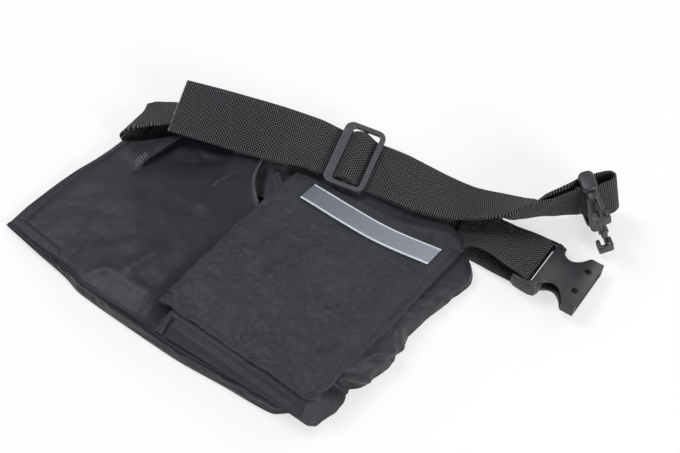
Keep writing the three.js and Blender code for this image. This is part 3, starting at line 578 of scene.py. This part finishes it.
def main_detail(x, y):
    """Heights of the wide pocket's folds, pleat, hollow, ripples and creases, added up."""
    height = ridges(MAIN_FOLDS, x, y) + pleat(x, y) + hollow(x, y)
    height = height + 0.5 * ripple(x, y, 26, 3) + 0.16 * ripple(x, y, 9, 4)
    return height + 0.24 * crumple(x, y, 60, 18, 4, 5) + 0.22 * creased(x, y, 16, 6)


def with_seams(height, x, y, front, low):
    """A height with the wide pocket's hem, the ridge and groove over its seam, and its rolled mouth."""
    edge = x - along(LEFT_EDGE, "y", y, "x")
    inset = np.minimum(edge - lerp(8.5, 4.0, smooth(y, -60, 0)), low - 9.5 + 30 * smooth(x, -88, -74))
    hem = 0.35 * smooth(-inset, 0, 0.9) - 0.45 * bell(inset, 0.8)
    seam_line = 0.5 * bell(low, 1.6) - 0.4 * bell(low - 3, 1.1)
    rolled = 0.9 * bell(front * 150, 2.2) * smooth(x, -30, -26)
    return height + hem + seam_line + rolled


def main_surface(u, v):
    """The wide pocket: sections from mouth to seam, then the wall below the seam, down to its foot."""
    station = np.interp(u, MAIN_SPREAD["share"], MAIN_SPREAD["x"])
    share = (station - MAIN_LEFT) / (RIGHT_SEAM - MAIN_LEFT)
    value = lambda column: along(MAIN_SECTIONS, "x", station, column)
    seam_y = along(BOTTOM_EDGE, "x", station, "y")
    front = np.minimum(v / FRONT_SHARE, 1)
    wall = np.maximum(v - FRONT_SHARE, 0) / (1 - FRONT_SHARE)
    upright = np.clip(value("upright"), 0, 1)
    y = lerp(value("mouth_y"), seam_y, front) - FLANGE * (1 - upright) * wall
    x = station + (along(LEFT_EDGE, "y", y, "x") - MAIN_LEFT) * (1 - share)
    mouth, crown, shoulder, seam = value("mouth_z"), value("crown"), value("shoulder"), value("seam")
    z = section_height(front, mouth, crown, shoulder, seam)
    raised_by = with_seams(main_detail(x, y), x, y, front, y - seam_y)
    z = z - (seam - FOOT_Z) * upright * wall + raised_by * (1 - wall)
    shade_line = 1.8 * bell(wall - 0.14, 0.1) * (wall > 0)
    lean = 2.4 * wall + (0.7 * creased(x, 26 * wall, 9, 8) + 0.4 * ripple(x, y, 22, 7)) * np.sin(np.pi * wall)
    return np.stack([x - tuck(x, y), y + upright * (shade_line - lean), z], -1)


def section_height(front, mouth, crown, shoulder, seam):
    """Height along a section: a cubic through mouth, crown, shoulder and seam, as the tables' cubic."""
    keys = np.array([0, CROWN_AT, SHOULDER_AT, 1])
    values = np.stack([mouth, crown, shoulder, seam], -1)
    slopes = np.stack([
        (crown - mouth) / CROWN_AT, (shoulder - mouth) / SHOULDER_AT,
        (seam - crown) / (1 - CROWN_AT), (seam - shoulder) / (1 - SHOULDER_AT)], -1)
    i = np.clip(np.searchsorted(keys, front) - 1, 0, 2)
    pick = lambda array, k: np.take_along_axis(array, k[..., None], -1)[..., 0]
    width = keys[i + 1] - keys[i]
    ends = pick(values, i), pick(values, i + 1), pick(slopes, i), pick(slopes, i + 1)
    return cubic((front - keys[i]) / width, width, *ends)


def flap_top(x):
    """The sewn top edge of the flap."""
    return FLAP_TOP_LEFT + FLAP_TOP_RISE * (x - FLAP_LEFT)


def flap_height(x, y):
    """Height of the flap without its fine creases."""
    top = flap_top(x)
    down = np.clip((top - y) / (top - FLAP_BOTTOM), 0, 1)
    droop = FLAP_CORNER_DROOP * np.maximum(x - FLAP_CORNER_START, 0) ** 2
    droop = droop + FLAP_SIDE_DROOP * np.maximum(FLAP_SIDE_START - x, 0) ** 2
    return along(FLAP_PROFILE, "down", down, "z") - droop + ridges(FLAP_FOLDS, x, y)


def flap_surface(u, v):
    """The lid: its lower right corner swept round, crumpled all over, with a folded hem along three sides."""
    right = FLAP_RIGHT - FLAP_TAPER * smooth(v, 0.5, 1)
    x = lerp(FLAP_LEFT, right, u)
    past = np.maximum(x - FLAP_CORNER_START, 0)
    bottom = FLAP_BOTTOM + FLAP_CORNER_SWEEP * past**2
    y = lerp(flap_top(x), bottom, v)
    left = x - FLAP_LEFT - lerp(0.5, 6.0, smooth(y, -20, 45))
    inset = np.minimum(np.minimum(left, right - x - FLAP_HEM), y - bottom - FLAP_HEM)
    hem = 0.12 * smooth(-inset, 0, 0.8) - 0.5 * bell(inset, 0.7)
    creases = 0.55 * crumple(x, y, 150, 11, 2.6, 11) + 2 * creased(x, y, 16, 14)
    creases = creases + 0.8 * creased(x + y, y - x, 11, 17)
    creases = creases + 1.2 * crumple(x, y, 90, 7, 2.2, 19) * (1 - smooth(y - bottom, 6, 22))
    from_label = np.abs(y - along(LABEL_LINE, "x", x, "y")) - LABEL_HEIGHT / 2
    creases = creases * lerp(0.2, 1, smooth(from_label, 1, 9))
    z = flap_height(x, y) + 0.35 * ripple(x, y, 18, 13) + creases + hem
    return np.stack([x, y, z], -1)


def label_surface(u, v):
    """The woven label, bowed upwards to the right, just over the flap."""
    x = lerp(LABEL_LINE["x"][0], LABEL_LINE["x"][-1], u)
    y = along(LABEL_LINE, "x", x, "y") + LABEL_HEIGHT * (0.5 - v)
    z = flap_height(x, y) + 0.35 * ripple(x, y, 18, 13) + LABEL_GAP + LABEL_THICKNESS
    return np.stack([x, y, z + 0.25 * ripple(x, y, 14, 21)], -1)


def front_surface(u, v):
    """The gusseted pocket: a low dome open at its mouth, whose crumpled right side reaches the table."""
    across = lambda column: along(FRONT_ACROSS, "at", u, column)
    down = lambda column: along(FRONT_DOWN, "at", v, column)
    y = lerp(across("mouth_y"), across("lower_y"), down("run"))
    side = lambda column: along(SIDE_REACH, "y", y, column)
    x = lerp(FRONT_LEFT, side("x"), across("span")) + across("bulge") * side("bulge")
    front = flap_height(np.minimum(x, FLAP_RIGHT), y) - CLOTH - CLOTH_GAP
    foot = np.minimum(across("foot"), front - LEAST_RISE)
    lift = np.clip(across("lift"), 0, 1) * np.clip(down("lift"), 0, 1)
    points = np.stack([x, y, lerp(foot, front, lift)], -1)
    down_side = SIDE_DROP * (u - SIDE_START) / (1 - SIDE_START)
    folds = ridges(SIDE_FOLDS, y, down_side) + 0.5 * crumple(y, SIDE_SPAN * u, 70, 9, 2.2, 31)
    folds = folds + 0.8 * creased(y, SIDE_SPAN * u, 10, 32)
    loose = smooth(u, 0.72, 0.82) * folds + (1 - smooth(u, 0.6, 0.72)) * 0.35 * creased(x, y, 9, 35)
    notch = -2.6 * bell(x - 11.4, 1.3) * smooth(-y, 72, 75)
    rim = (0.5 * bell(y + 77.2, 1.8) - 0.5 * bell(y + 74, 1.5)) * (1 - smooth(u, 0.6, 0.74))
    return points - normals_of(points) * (loose + notch + rim)[..., None]


def band_surface(u, v):
    """The band along the top edge, arched over the belt ends, with a few soft folds."""
    x = lerp(BAND_EDGES["x"][0], BAND_EDGES["x"][-1], u)
    y = lerp(along(BAND_EDGES, "x", x, "top"), along(BAND_EDGES, "x", x, "low"), v)
    z = along(BAND_PROFILE, "down", v, "z") + 2.6 * smooth(x, 78, 98) - lerp(1.2, 0, smooth(x, -60, -30))
    share, aside = line_frame(x, y, *BAND_CREASE)
    fold = 0.9 * np.exp(-np.abs(aside) / 1.2) * smooth(share, -0.4, 0.1)
    fold = fold + ridges(BAND_FOLDS, x, y) + 0.3 * ripple(x, y, 16, 41) + 0.45 * creased(x, y, 11, 42)
    return np.stack([x, y, z + fold], -1)


def edge_coordinates(points):
    """Cloth coordinates of a grid: run lengths along its middle column and, centred, its middle row."""
    rows, columns = points.shape[:2]
    first, second = np.meshgrid(run_of(points[:, columns // 2]), run_of(points[rows // 2]), indexing="ij")
    return np.stack([first, second - second.mean(), np.zeros((rows, columns))], -1)


def flat_area(points):
    """Area of a grid of points, in square metres."""
    a = points[1:, :-1] - points[:-1, :-1]
    b = points[:-1, 1:] - points[:-1, :-1]
    return float(np.linalg.norm(np.cross(a, b), axis=-1).sum()) * MM**2


def cloth_piece(name, node, surface, size, thickness, material):
    """A cloth piece that stands for a CAD node, which it hides; its flat area is worked out but not kept."""
    outer = surface(*grid(*size))[:, ::-1]
    coordinates = edge_coordinates(outer)
    obj = add_cloth(name, outer, thickness, material, coordinates)
    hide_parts(node)
    flat_area(outer)


# Webbing


def width_direction(heading, rise):
    """Unit vector of a heading in plan and a rise over the horizontal, both in degrees."""
    heading, rise = np.radians(heading), np.radians(rise)
    return np.stack([np.cos(rise) * np.cos(heading), np.cos(rise) * np.sin(heading), np.sin(rise)], -1)


def stations_of(rows):
    """Middles and width directions of a belt table."""
    return np.stack([rows["x"], rows["y"], rows["z"]], -1), width_direction(rows["heading"], rows["rise"])


def route(middles, widths, step):
    """Even stations on a smooth curve through the middles, timed by the root of each gap; widths blended."""
    ends = [2 * middles[:1] - middles[1:2], middles, 2 * middles[-1:] - middles[-2:-1]]
    knots = np.concatenate(ends)
    gaps = np.sqrt(np.linalg.norm(np.diff(knots, axis=0), axis=-1))
    times = np.concatenate([[0], np.cumsum(gaps)])
    share = np.linspace(0, 1, 40, endpoint=False)
    rows = np.arange(len(middles) - 1)
    t = (times[rows + 1][:, None] + share * (times[rows + 2] - times[rows + 1])[:, None])
    point = lambda k: knots[rows + k][:, None, :]
    time = lambda k: times[rows + k][:, None]
    blend = lambda a, b, ta, tb: a * ((tb - t) / (tb - ta))[..., None] + b * ((t - ta) / (tb - ta))[..., None]
    first, second, third = (blend(point(k), point(k + 1), time(k), time(k + 1)) for k in range(3))
    early, late = blend(first, second, time(0), time(2)), blend(second, third, time(1), time(3))
    curve = np.concatenate([blend(early, late, time(1), time(2)).reshape(-1, 3), middles[-1:]])
    place = np.append((rows[:, None] + share).ravel(), len(middles) - 1.0)
    run = run_of(curve)
    even = np.linspace(0, run[-1], int(np.ceil(run[-1] / step)) + 1)
    at = np.interp(even, run, place)
    sample = lambda where, keys, vectors: np.stack([np.interp(where, keys, part) for part in vectors.T], -1)
    return sample(even, run, curve), unit(sample(at, np.arange(len(middles)), widths))


def chained(step, *runs):
    """Even stations through several runs of middles and widths, one after the other."""
    middles, widths = (np.concatenate(parts) for parts in zip(*runs))
    return route(middles, widths, step)


def frames_of(middles, widths):
    """Tangent, width squared to it, and face normal, at each station."""
    forward = unit(np.gradient(middles, axis=0))
    across = unit(widths - forward * (widths * forward).sum(-1, keepdims=True))
    return forward, across, np.cross(forward, across)


def raised(middles, widths, heights):
    """The stations moved along their face normals."""
    normal = frames_of(middles, widths)[2]
    return middles + normal * np.asarray(heights).reshape(-1, 1)


def placement(place):
    """Rotation and position of a buckle half: rolled about its own length, then turned in plan."""
    yaw, roll = np.radians(place["yaw"]), np.radians(place["roll"])
    turn = np.array([[np.cos(yaw), -np.sin(yaw), 0], [np.sin(yaw), np.cos(yaw), 0], [0, 0, 1]])
    tip = np.array([[1, 0, 0], [0, np.cos(roll), -np.sin(roll)], [0, np.sin(roll), np.cos(roll)]])
    return turn @ tip, np.array([place["x"], place["y"], place["z"]])


def woven_layer(middles, widths, offset, step):
    """One layer of the doubled belt: its rows routed, woven over the slider's middle bar, and set off."""
    middles, widths = route(middles, widths, step)
    centre = np.argmin(np.abs(middles[:, 0] - SLIDER_X))
    forward = frames_of(middles, widths)[0][centre]
    ahead = (middles - middles[centre]) @ forward
    woven = raised(middles, widths, along(SLIDER_WEAVE, "along", ahead, "z"))
    return raised(woven, widths, offset), widths


def waist_path(step):
    """Stations of the waist strap: sewn end, fold, lower layer, loop, upper layer and tail."""
    half = (WEBBING + LAYER_GAP) / 2
    lower, lower_widths = woven_layer(*stations_of(BELT_LOWER), -half, step)
    upper, upper_widths = (part[::-1] for part in woven_layer(*stations_of(BELT_UPPER), half, step))
    turn, origin = placement(MALE_PLACE)
    loop = np.stack([BELT_LOOP["out"], 0 * BELT_LOOP["out"], -BELT_LOOP["past"]], -1) @ turn.T + origin
    bar = np.broadcast_to(-turn[:, 1], loop.shape)
    start = chained(step, stations_of(BELT_END), (lower[:1], lower_widths[:1]))
    bend = chained(step, (lower[-1:], lower_widths[-1:]), (loop, bar), (upper[:1], upper_widths[:1]))
    tail = chained(step, (upper[-1:], upper_widths[-1:]), stations_of(BELT_TAIL))
    middles = np.concatenate([start[0][:-1], lower, bend[0][1:-1], upper, tail[0][1:]])
    widths = np.concatenate([start[1][:-1], lower_widths, bend[1][1:-1], upper_widths, tail[1][1:]])
    for joint in (len(start[0]), len(middles) - len(tail[0])):
        middles, widths = eased(middles, joint, EASE_REACH), unit(eased(widths, joint, EASE_REACH))
    return middles, widths


def eased(vectors, joint, reach):
    """Stations near a joint of two runs, averaged with their neighbours by a bell of weights."""
    weights = np.exp(-np.linspace(-2, 2, 2 * reach + 1) ** 2)
    padded = np.pad(vectors, ((reach, reach), (0, 0)), mode="edge")
    columns = [np.convolve(padded[:, k], weights / weights.sum(), "valid") for k in range(3)]
    share = np.exp(-(((np.arange(len(vectors)) - joint) / (1.5 * reach)) ** 4))
    return lerp(vectors, np.stack(columns, -1), share[:, None])


def short_path(step):
    """Stations of the short strap: lower layer, turn round the female buckle's bar, upper layer."""
    turn, origin = placement(FEMALE_PLACE)
    angle = np.radians([-90, -45, 0, 45, 90])
    out = BAR_TURN_MIDDLE + BAR_TURN_RADIUS * np.cos(angle)
    bend = np.stack([out, 0 * out, BAR_TURN_RADIUS * np.sin(angle)], -1) @ turn.T + origin
    bar = np.broadcast_to(turn[:, 1], bend.shape)
    return chained(step, stations_of(SHORT_LOWER), (bend, bar), stations_of(SHORT_UPPER))


def webbing_piece(name, node, path):
    """Webbing along its stations: a flat section with rounded edges, finely scalloped by the weft."""
    middles, widths = path
    _, across, normal = frames_of(middles, widths)
    run = run_of(middles)
    share = np.sin(np.linspace(-np.pi / 2, np.pi / 2, WEBBING_COUNT))
    rounding = np.sqrt(np.clip(1 - (np.maximum(np.abs(share) - 0.955, 0) / 0.045) ** 2, 0.12, 1))
    scallop = 0.14 * np.sin(run * RIB_TURN)[:, None] * smooth(np.abs(share), 0.9, 1.0) * np.sign(share)
    aside = share * WEBBING_WIDTH / 2 + scallop
    base = middles[:, None] + across[:, None] * aside[..., None]
    rise = normal[:, None] * (rounding * WEBBING / 2)[None, :, None]
    points = np.concatenate([(base - rise).reshape(-1, 3), (base + rise).reshape(-1, 3)])
    flat = np.stack([run[:, None] + 0 * aside, aside, 0 * aside], -1).reshape(-1, 3)
    faces = skin_faces(len(run), WEBBING_COUNT)
    obj = add_mesh(name, points, faces, WEBBING_FINISH, np.concatenate([flat, flat]))
    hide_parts(node)


# Moulded pieces


def rounded_plate(outline, low, high, soften):
    """A closed outline raised from low to high, with its edges rounded by a quarter circle in three steps."""
    outline = np.asarray(outline, float)
    ahead = unit(np.roll(outline, -1, 0) - outline)
    normal = np.stack([ahead[:, 1], -ahead[:, 0]], -1)
    bisector = normal + np.roll(normal, 1, 0)
    inward = -bisector / np.maximum((bisector * normal).sum(-1, keepdims=True), 0.35)
    angle = np.radians([0, 30, 60, 90])
    set_in = soften * np.concatenate([1 - np.sin(angle), (1 - np.sin(angle))[::-1]])
    height = np.concatenate([low + soften * (1 - np.cos(angle)), (high - soften * (1 - np.cos(angle)))[::-1]])
    rings = outline[None] + inward[None] * set_in[:, None, None]
    points = np.concatenate([rings, np.broadcast_to(height[:, None, None], (*rings.shape[:2], 1))], -1)
    count = len(outline)
    index = np.arange(len(height) * count).reshape(len(height), count)
    after = np.roll(index, -1, 1)
    sides = np.stack([index[:-1], after[:-1], after[1:], index[1:]], -1).reshape(-1, 4)
    faces = [tuple(face) for face in sides] + [tuple(index[0, ::-1]), tuple(index[-1])]
    return points.reshape(-1, 3), faces


def oblong(low_x, high_x, low_y, high_y, corner, step):
    """Outline of a rectangle with quarter-circle corners, counter-clockwise, a point every step in degrees."""
    middles = [
        (high_x - corner, high_y - corner), (low_x + corner, high_y - corner),
        (low_x + corner, low_y + corner), (high_x - corner, low_y + corner)]
    parts = []
    for quarter, middle in enumerate(middles):
        sweep = np.radians(np.arange(0, 91, step)) + np.radians(90 * quarter)
        parts.append(np.array(middle) + corner * np.stack([np.cos(sweep), np.sin(sweep)], -1))
    return np.concatenate(parts)


def rounded_box(low_x, high_x, low_y, high_y, low_z, high_z, corner, soften):
    """A plate with an oblong outline."""
    return rounded_plate(oblong(low_x, high_x, low_y, high_y, corner, 18), low_z, high_z, soften)


def rounded_frame(length, width, bar, rail, thickness, corner, shift):
    """A flat frame: an outer and an inner oblong, blended by a softened section from one to the other."""
    half_x, half_y = length / 2, width / 2
    outer = oblong(-half_x, half_x, -half_y, half_y, corner, 9)
    opening = oblong(bar - half_x, half_x - bar, rail - half_y, half_y - rail, SLIDER_INNER_CORNER, 9)
    inner = opening + [shift, 0]
    ring = np.linspace(0, 2 * np.pi, 20, endpoint=False)
    share = 0.5 + 0.5 * np.sign(np.cos(ring)) * np.abs(np.cos(ring)) ** 0.3
    section_z = np.sign(np.sin(ring)) * np.abs(np.sin(ring)) ** 0.3 * thickness / 2
    plan = inner[:, None] + (outer - inner)[:, None] * share[None, :, None]
    points = np.concatenate([plan, np.broadcast_to(section_z[None, :, None], (*plan.shape[:2], 1))], -1)
    index = np.arange(plan.shape[0] * plan.shape[1]).reshape(plan.shape[:2])
    on, up = np.roll(index, -1, 0), np.roll(index, -1, 1)
    faces = np.stack([index, on, np.roll(on, -1, 1), up], -1).reshape(-1, 4)
    return points.reshape(-1, 3), [tuple(face) for face in faces]


def joined(parts):
    """Points and faces of several closed parts as one."""
    points, faces, start = [], [], 0
    for part_points, part_faces in parts:
        points.append(part_points)
        faces += [tuple(int(k) + start for k in face) for face in part_faces]
        start += len(part_points)
    return np.concatenate(points), faces


def moulded_piece(name, node, parts, turn, origin, material):
    """A plastic piece from closed parts, set on its place, with sharp edges kept where it turns steeply."""
    points, faces = joined(parts)
    obj = add_mesh(name, points @ turn.T + origin, faces, material)
    obj.data.set_sharp_from_angle(angle=np.radians(SHARP_ANGLE))
    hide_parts(node)


def slider_piece():
    """The slider: a rounded frame and a middle bar below its plane, lying in the plane of the belt."""
    middles, widths = route(*stations_of(BELT_UPPER), 2.0)
    centre = np.argmin(np.abs(middles[:, 0] - SLIDER_X))
    forward, across, normal = (part[centre] for part in frames_of(middles, widths))
    sizes = SLIDER_LENGTH, SLIDER_WIDTH, SLIDER_BAR, SLIDER_RAIL, SLIDER_THICKNESS, SLIDER_CORNER
    parts = [
        rounded_frame(*sizes, SLIDER_LEFT_BAR),
        rounded_box(-1.7, 1.7, -22.4, 22.4, -3.2, -0.6, 0.8, 0.5)]
    origin = middles[centre] + across * SLIDER_OFFSET
    turn = np.stack([forward, across, normal], -1)
    moulded_piece("slider_frame", "slider", parts, turn, origin, SLIDER_PLASTIC)


def mirrored(half):
    """An outline and its mirror image over the first axis, as one closed outline."""
    half = np.asarray(half, float)
    return np.concatenate([half, (half * [1, -1])[::-1]])


def sided(outline, side):
    """An outline on its own side (1) or mirrored to the other (-1), counter-clockwise on both."""
    return np.array(outline)[::side] * [1, side]


def female_piece():
    """Female buckle half: cheeks and bar, a waisted body of two plates joined at its back and mouth, and two
    near-black discs of painted shade where its round recesses are.
    """
    share = np.linspace(0, 1, 15)
    wide = FEMALE_HALF
    waist = np.stack([lerp(11, 30, share), 1.4 - wide + 8.5 * np.sin(np.pi * share) ** 0.8], -1)
    outline = mirrored(np.concatenate([
        [(8, -19.9), (8.6, 0.8 - wide)], waist, [(31.6, 0.2 - wide), (39.6, 0.6 - wide), (40, 1 - wide)]]))
    parts = [
        rounded_plate(outline, 2.9, 5, 0.7),
        rounded_plate(outline, -5, -2.9, 0.7),
        rounded_box(8, 14, -20, 20, -3.4, 3.4, 0.8, 0.3),
        rounded_box(-2.9, 2, -20.4, 20.4, -2.7, 2.7, 1.2, 1.2)]
    for side in (-1, 1):
        parts.append(rounded_plate(sided(FEMALE_CHEEK, side), -5, 4.6 if side < 0 else 2.2, 1.3))
        low, high = sorted((side * (wide - 3.4), side * (wide - 0.1)))
        parts.append(rounded_box(31, 40, low, high, -4.6, 4.6, 0.8, 0.4))
    turn, origin = placement(FEMALE_PLACE)
    # Two near-black discs just over the top plate: painted shade standing in for its two round recesses.
    ring = np.linspace(0, 2 * np.pi, 20, endpoint=False)
    rings = [np.stack([34 + 2.3 * np.cos(ring), middle + 2.3 * np.sin(ring)], -1) for middle in (-9.5, 9.5)]
    points, faces = joined([rounded_plate(outline, 4.6, 5.12, 0.1) for outline in rings])
    add_mesh("female_recess_shade", points @ turn.T + origin, faces, RECESS_SHADE_PLASTIC)
    moulded_piece("female_buckle", "buckle_female", parts, turn, origin, PLASTIC)


def edgeways(part):
    """A part stood on edge: its second and third axes swapped, its faces turned to match."""
    points, faces = part
    return points[:, [0, 2, 1]], [face[::-1] for face in faces]


def male_piece():
    """Male buckle half: bar, round-ended cheeks, cross bar, tongue, and two sprung arms with forked heads."""
    parts = [
        rounded_box(-4, 2.8, -20.4, 20.4, -3.3, 3.3, 1.4, 1.2),
        rounded_box(6.2, 12.6, -20.6, 20.6, -4.2, 4.2, 1.2, 2.4),
        rounded_box(10, 29, -4, 4, -2, 2, 1.6, 0.7),
        rounded_box(10, 27, -0.9, 0.9, -3.2, 3.2, 0.6, 0.4)]
    for side in (-1, 1):
        parts.append(rounded_plate(sided(MALE_ARM, side), -3.6, -0.6, 0.7))
        low, high = sorted((side * 18.8, side * 23.5))
        parts.append(edgeways(rounded_box(-7.6, 7.4, -5.2, 5.2, low, high, 4.2, 1.5)))
        low, high = sorted((side * 13.4, side * 20.4))
        parts += [rounded_box(22, 29.6, low, high, floor, floor + 2.6, 1.4, 0.7) for floor in (-5, 2.4)]
        parts.append(rounded_box(26.8, 29.8, low, high, -4.6, 4.6, 1.0, 0.6))
    moulded_piece("male_buckle", "buckle_male", parts, *placement(MALE_PLACE), PLASTIC)


# Thread


def stitches(name, points, normals, forwards, length, width, lift, material):
    """Short raised threads: a six-sided grain, narrower at both ends, laid at each point along its heading."""
    around = np.linspace(0, 2 * np.pi, 6, endpoint=False)
    ends = np.array([-0.5, -0.3, 0.3, 0.5])[:, None]
    fat = np.array([0.35, 1.0, 1.0, 0.35])[:, None]
    local = np.stack([ends + 0 * around, fat * np.cos(around), fat * np.sin(around)], -1).reshape(-1, 3)
    forwards = unit(forwards - normals * (forwards * normals).sum(-1, keepdims=True))
    sides = np.cross(normals, forwards)
    grains = points[:, None] + forwards[:, None] * (local[:, 0] * length)[None, :, None]
    grains = grains + sides[:, None] * (local[:, 1] * width / 2)[None, :, None]
    grains = grains + normals[:, None] * (local[:, 2] * width / 2 + lift)[None, :, None]
    index = np.arange(len(local)).reshape(len(ends), len(around))
    on = np.roll(index, -1, 1)
    quads = np.stack([index[:-1], on[:-1], on[1:], index[1:]], -1).reshape(-1, 4)
    caps = [index[0, ::-1], index[-1]]
    starts = np.arange(len(points)) * len(local)
    faces = [face + start for shapes in (quads, caps) for start in starts for face in shapes]
    add_mesh(name, grains, faces, material)


def sew(surface, u, v, pitch):
    """Even points on a line in a surface's parameters, with the surface's normals and the line's heading."""
    run = run_of(surface(u, v))
    even = np.arange(pitch / 2, run[-1], pitch)
    at_u, at_v = np.interp(even, run, u), np.interp(even, run, v)
    small = 0.002
    points = surface(at_u, at_v)
    first = surface(np.clip(at_u + small, 0, 1), at_v) - surface(np.clip(at_u - small, 0, 1), at_v)
    second = surface(at_u, np.clip(at_v + small, 0, 1)) - surface(at_u, np.clip(at_v - small, 0, 1))
    normals = unit(np.cross(second, first))
    return points, normals, unit(np.gradient(points, axis=0))


def bar_tack():
    """The pleat's bar tack: eight thick threads side by side, from the pleat's edge to its left."""
    share = np.linspace(0.02, 0.33, 8)
    x = lerp(PLEAT_FROM[0], PLEAT_TO[0], share) + TACK_SHIFT[0]
    y = lerp(PLEAT_FROM[1], PLEAT_TO[1], share) + TACK_SHIFT[1]
    points, normals = on_main(x, y)
    forwards = np.broadcast_to(TACK_DIRECTION, points.shape)
    stitches("bar_tack", points, normals, forwards, 6, 0.7, 0.34, PALE_THREAD)


def overlock():
    """Overlocked edge of the main panel's mouth: threads laid across the edge, close together."""
    station = np.linspace(-36.5, -9, 400)
    u = np.interp(station, MAIN_SPREAD["x"], MAIN_SPREAD["share"])
    points, normals, forwards = sew(main_surface, u, np.full_like(u, 0.004), 0.85)
    lean = np.where(np.arange(len(points)) % 2, 0.35, -0.35)[:, None]
    across = np.cross(normals, forwards) + forwards * lean
    stitches("overlock", points, normals, across, 3.0, 0.5, 0.1, EDGE_THREAD)


def frayed_end():
    """Cut end of the belt's tail: fine threads that stand out of it, each a little astray."""
    middles, widths = waist_path(WEBBING_STEP)
    forward, across, normal = (part[-1] for part in frames_of(middles, widths))
    rng = np.random.default_rng(51)
    aside = np.linspace(-0.49, 0.49, 76) * WEBBING_WIDTH
    height = rng.uniform(-0.6, 0.6, len(aside))
    points = middles[-1] + forward * 0.3 + across * aside[:, None] + normal * height[:, None]
    astray = forward + across * rng.uniform(-0.5, 0.5, (len(aside), 1))
    astray = astray + normal * rng.uniform(-0.4, 0.4, (len(aside), 1))
    normals = np.broadcast_to(normal, points.shape)
    stitches("frayed_end", points, normals, astray, 1.5, 0.3, 0.0, FRAYED_THREAD)


def on_main(x, y):
    """Points and normals of the main panel nearest in plan to given points."""
    surface = main_surface(*grid(600, 400))
    normals = -normals_of(surface)
    flat, facing = surface.reshape(-1, 3), normals.reshape(-1, 3)
    nearest = np.argmin((flat[None, :, 0] - x[:, None]) ** 2 + (flat[None, :, 1] - y[:, None]) ** 2, axis=1)
    return flat[nearest], facing[nearest]


def seam_stitches():
    """Running stitches outside the groove of the flap's hem, along its lower and right sides."""
    line = np.linspace(0, 1, 500)
    right = 1 - (FLAP_HEM - STITCH_OUTSIDE) / (FLAP_RIGHT - FLAP_LEFT)
    low = 1 - (FLAP_HEM - STITCH_OUTSIDE) / FLAP_LENGTH
    rows = [
        sew(flap_surface, lerp(0.03, right, line), np.full_like(line, low), STITCH_PITCH),
        sew(flap_surface, np.full_like(line, right), lerp(0.02, low, line), STITCH_PITCH)]
    points, normals, forwards = (np.concatenate(parts) for parts in zip(*rows))
    stitches("seam_stitches", points, normals, forwards, 1.9, 0.34, 0.06, BLACK_THREAD)


# Stage


def add_floor():
    """A pale floor that glows like an overexposed paper sweep, wide enough to fill every view."""
    mesh = bpy.data.meshes.new("floor")
    half = 6.0
    corners = [(-half, -half, 0), (half, -half, 0), (half, half, 0), (-half, half, 0)]
    mesh.from_pydata(corners, [], [(0, 1, 2, 3)])
    finish = Finish("floor", Roughness=0.9, Specular_IOR_Level=0.0, Emission_Strength=0.64)
    mesh.materials.append(finish.set(Base_Color=(0.26, 0.255, 0.25, 1), Emission_Color=(1.0, 1.0, 1.0, 1)))
    floor = bpy.data.objects.new("floor", mesh)
    bpy.context.scene.collection.objects.link(floor)


def add_light(name, position, target, size, power, colour):
    """A soft square light aimed at a point."""
    data = bpy.data.lights.new(name, "AREA")
    data.size = size
    data.energy = power
    data.color = colour
    light = bpy.data.objects.new(name, data)
    light.location = position
    light.rotation_euler = (Vector(target) - Vector(position)).to_track_quat("-Z", "Y").to_euler()
    bpy.context.scene.collection.objects.link(light)


def add_world(strength):
    """White surroundings."""
    world = bpy.data.worlds.new("studio")
    world.use_nodes = True
    background = world.node_tree.nodes["Background"]
    background.inputs["Color"].default_value = (1.0, 1.0, 1.0, 1)
    background.inputs["Strength"].default_value = strength
    bpy.context.scene.world = world


def add_camera():
    """The photograph's camera: round the target by its azimuth and elevation."""
    azimuth, elevation = np.radians(CAMERA_AZIMUTH), np.radians(CAMERA_ELEVATION)
    level = np.cos(elevation)
    back = np.array([np.sin(azimuth) * level, -np.cos(azimuth) * level, np.sin(elevation)])
    data = bpy.data.cameras.new("camera")
    data.lens = CAMERA_LENS
    data.sensor_width = CAMERA_SENSOR
    data.clip_start = 0.01
    camera = bpy.data.objects.new("camera", data)
    position = (np.array(CAMERA_TARGET) + back * CAMERA_DISTANCE) * MM
    camera.location = position.tolist()
    camera.rotation_euler = (-Vector(back.tolist())).to_track_quat("-Z", "Y").to_euler()
    bpy.context.scene.collection.objects.link(camera)
    bpy.context.scene.camera = camera


# Pieces

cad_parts["back_panel"].data.materials.clear()
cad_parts["back_panel"].data.materials.append(PANEL_NYLON)
cloth_piece(
    "main_panel", "main_pocket", main_surface, (288, 168), CLOTH, PANEL_NYLON)
cloth_piece("band", "top_band", band_surface, (300, 80), CLOTH, FLAP_NYLON)
cloth_piece(
    "gusset_pocket", "front_pocket", front_surface, (230, 210), CLOTH, FLAP_NYLON)
cloth_piece("lid", "flap", flap_surface, (220, 220), CLOTH, FLAP_NYLON)
cloth_piece("woven_label", "label", label_surface, (120, 24), LABEL_THICKNESS, LABEL_FINISH)
webbing_piece("belt", "waist_strap", waist_path(WEBBING_STEP))
webbing_piece("short_strap", "buckle_strap", short_path(WEBBING_STEP))
slider_piece()
female_piece()
male_piece()

bar_tack()
overlock()
frayed_end()
seam_stitches()

add_floor()
add_world(0.53)
add_light("key", (0.3, 1.3, 0.85), (0.03, 0.05, 0), 0.8, 6, (1, 0.99, 0.97))
add_light("left", (-0.8, -0.1, 1.4), (-0.03, 0, 0), 0.6, 15, (0.9, 0.95, 1))
add_light("side", (1.5, -0.3, 0.7), (0.05, 0, 0), 0.6, 20, (1, 1, 1))
add_camera()
bpy.context.scene.view_settings.view_transform = "Standard"
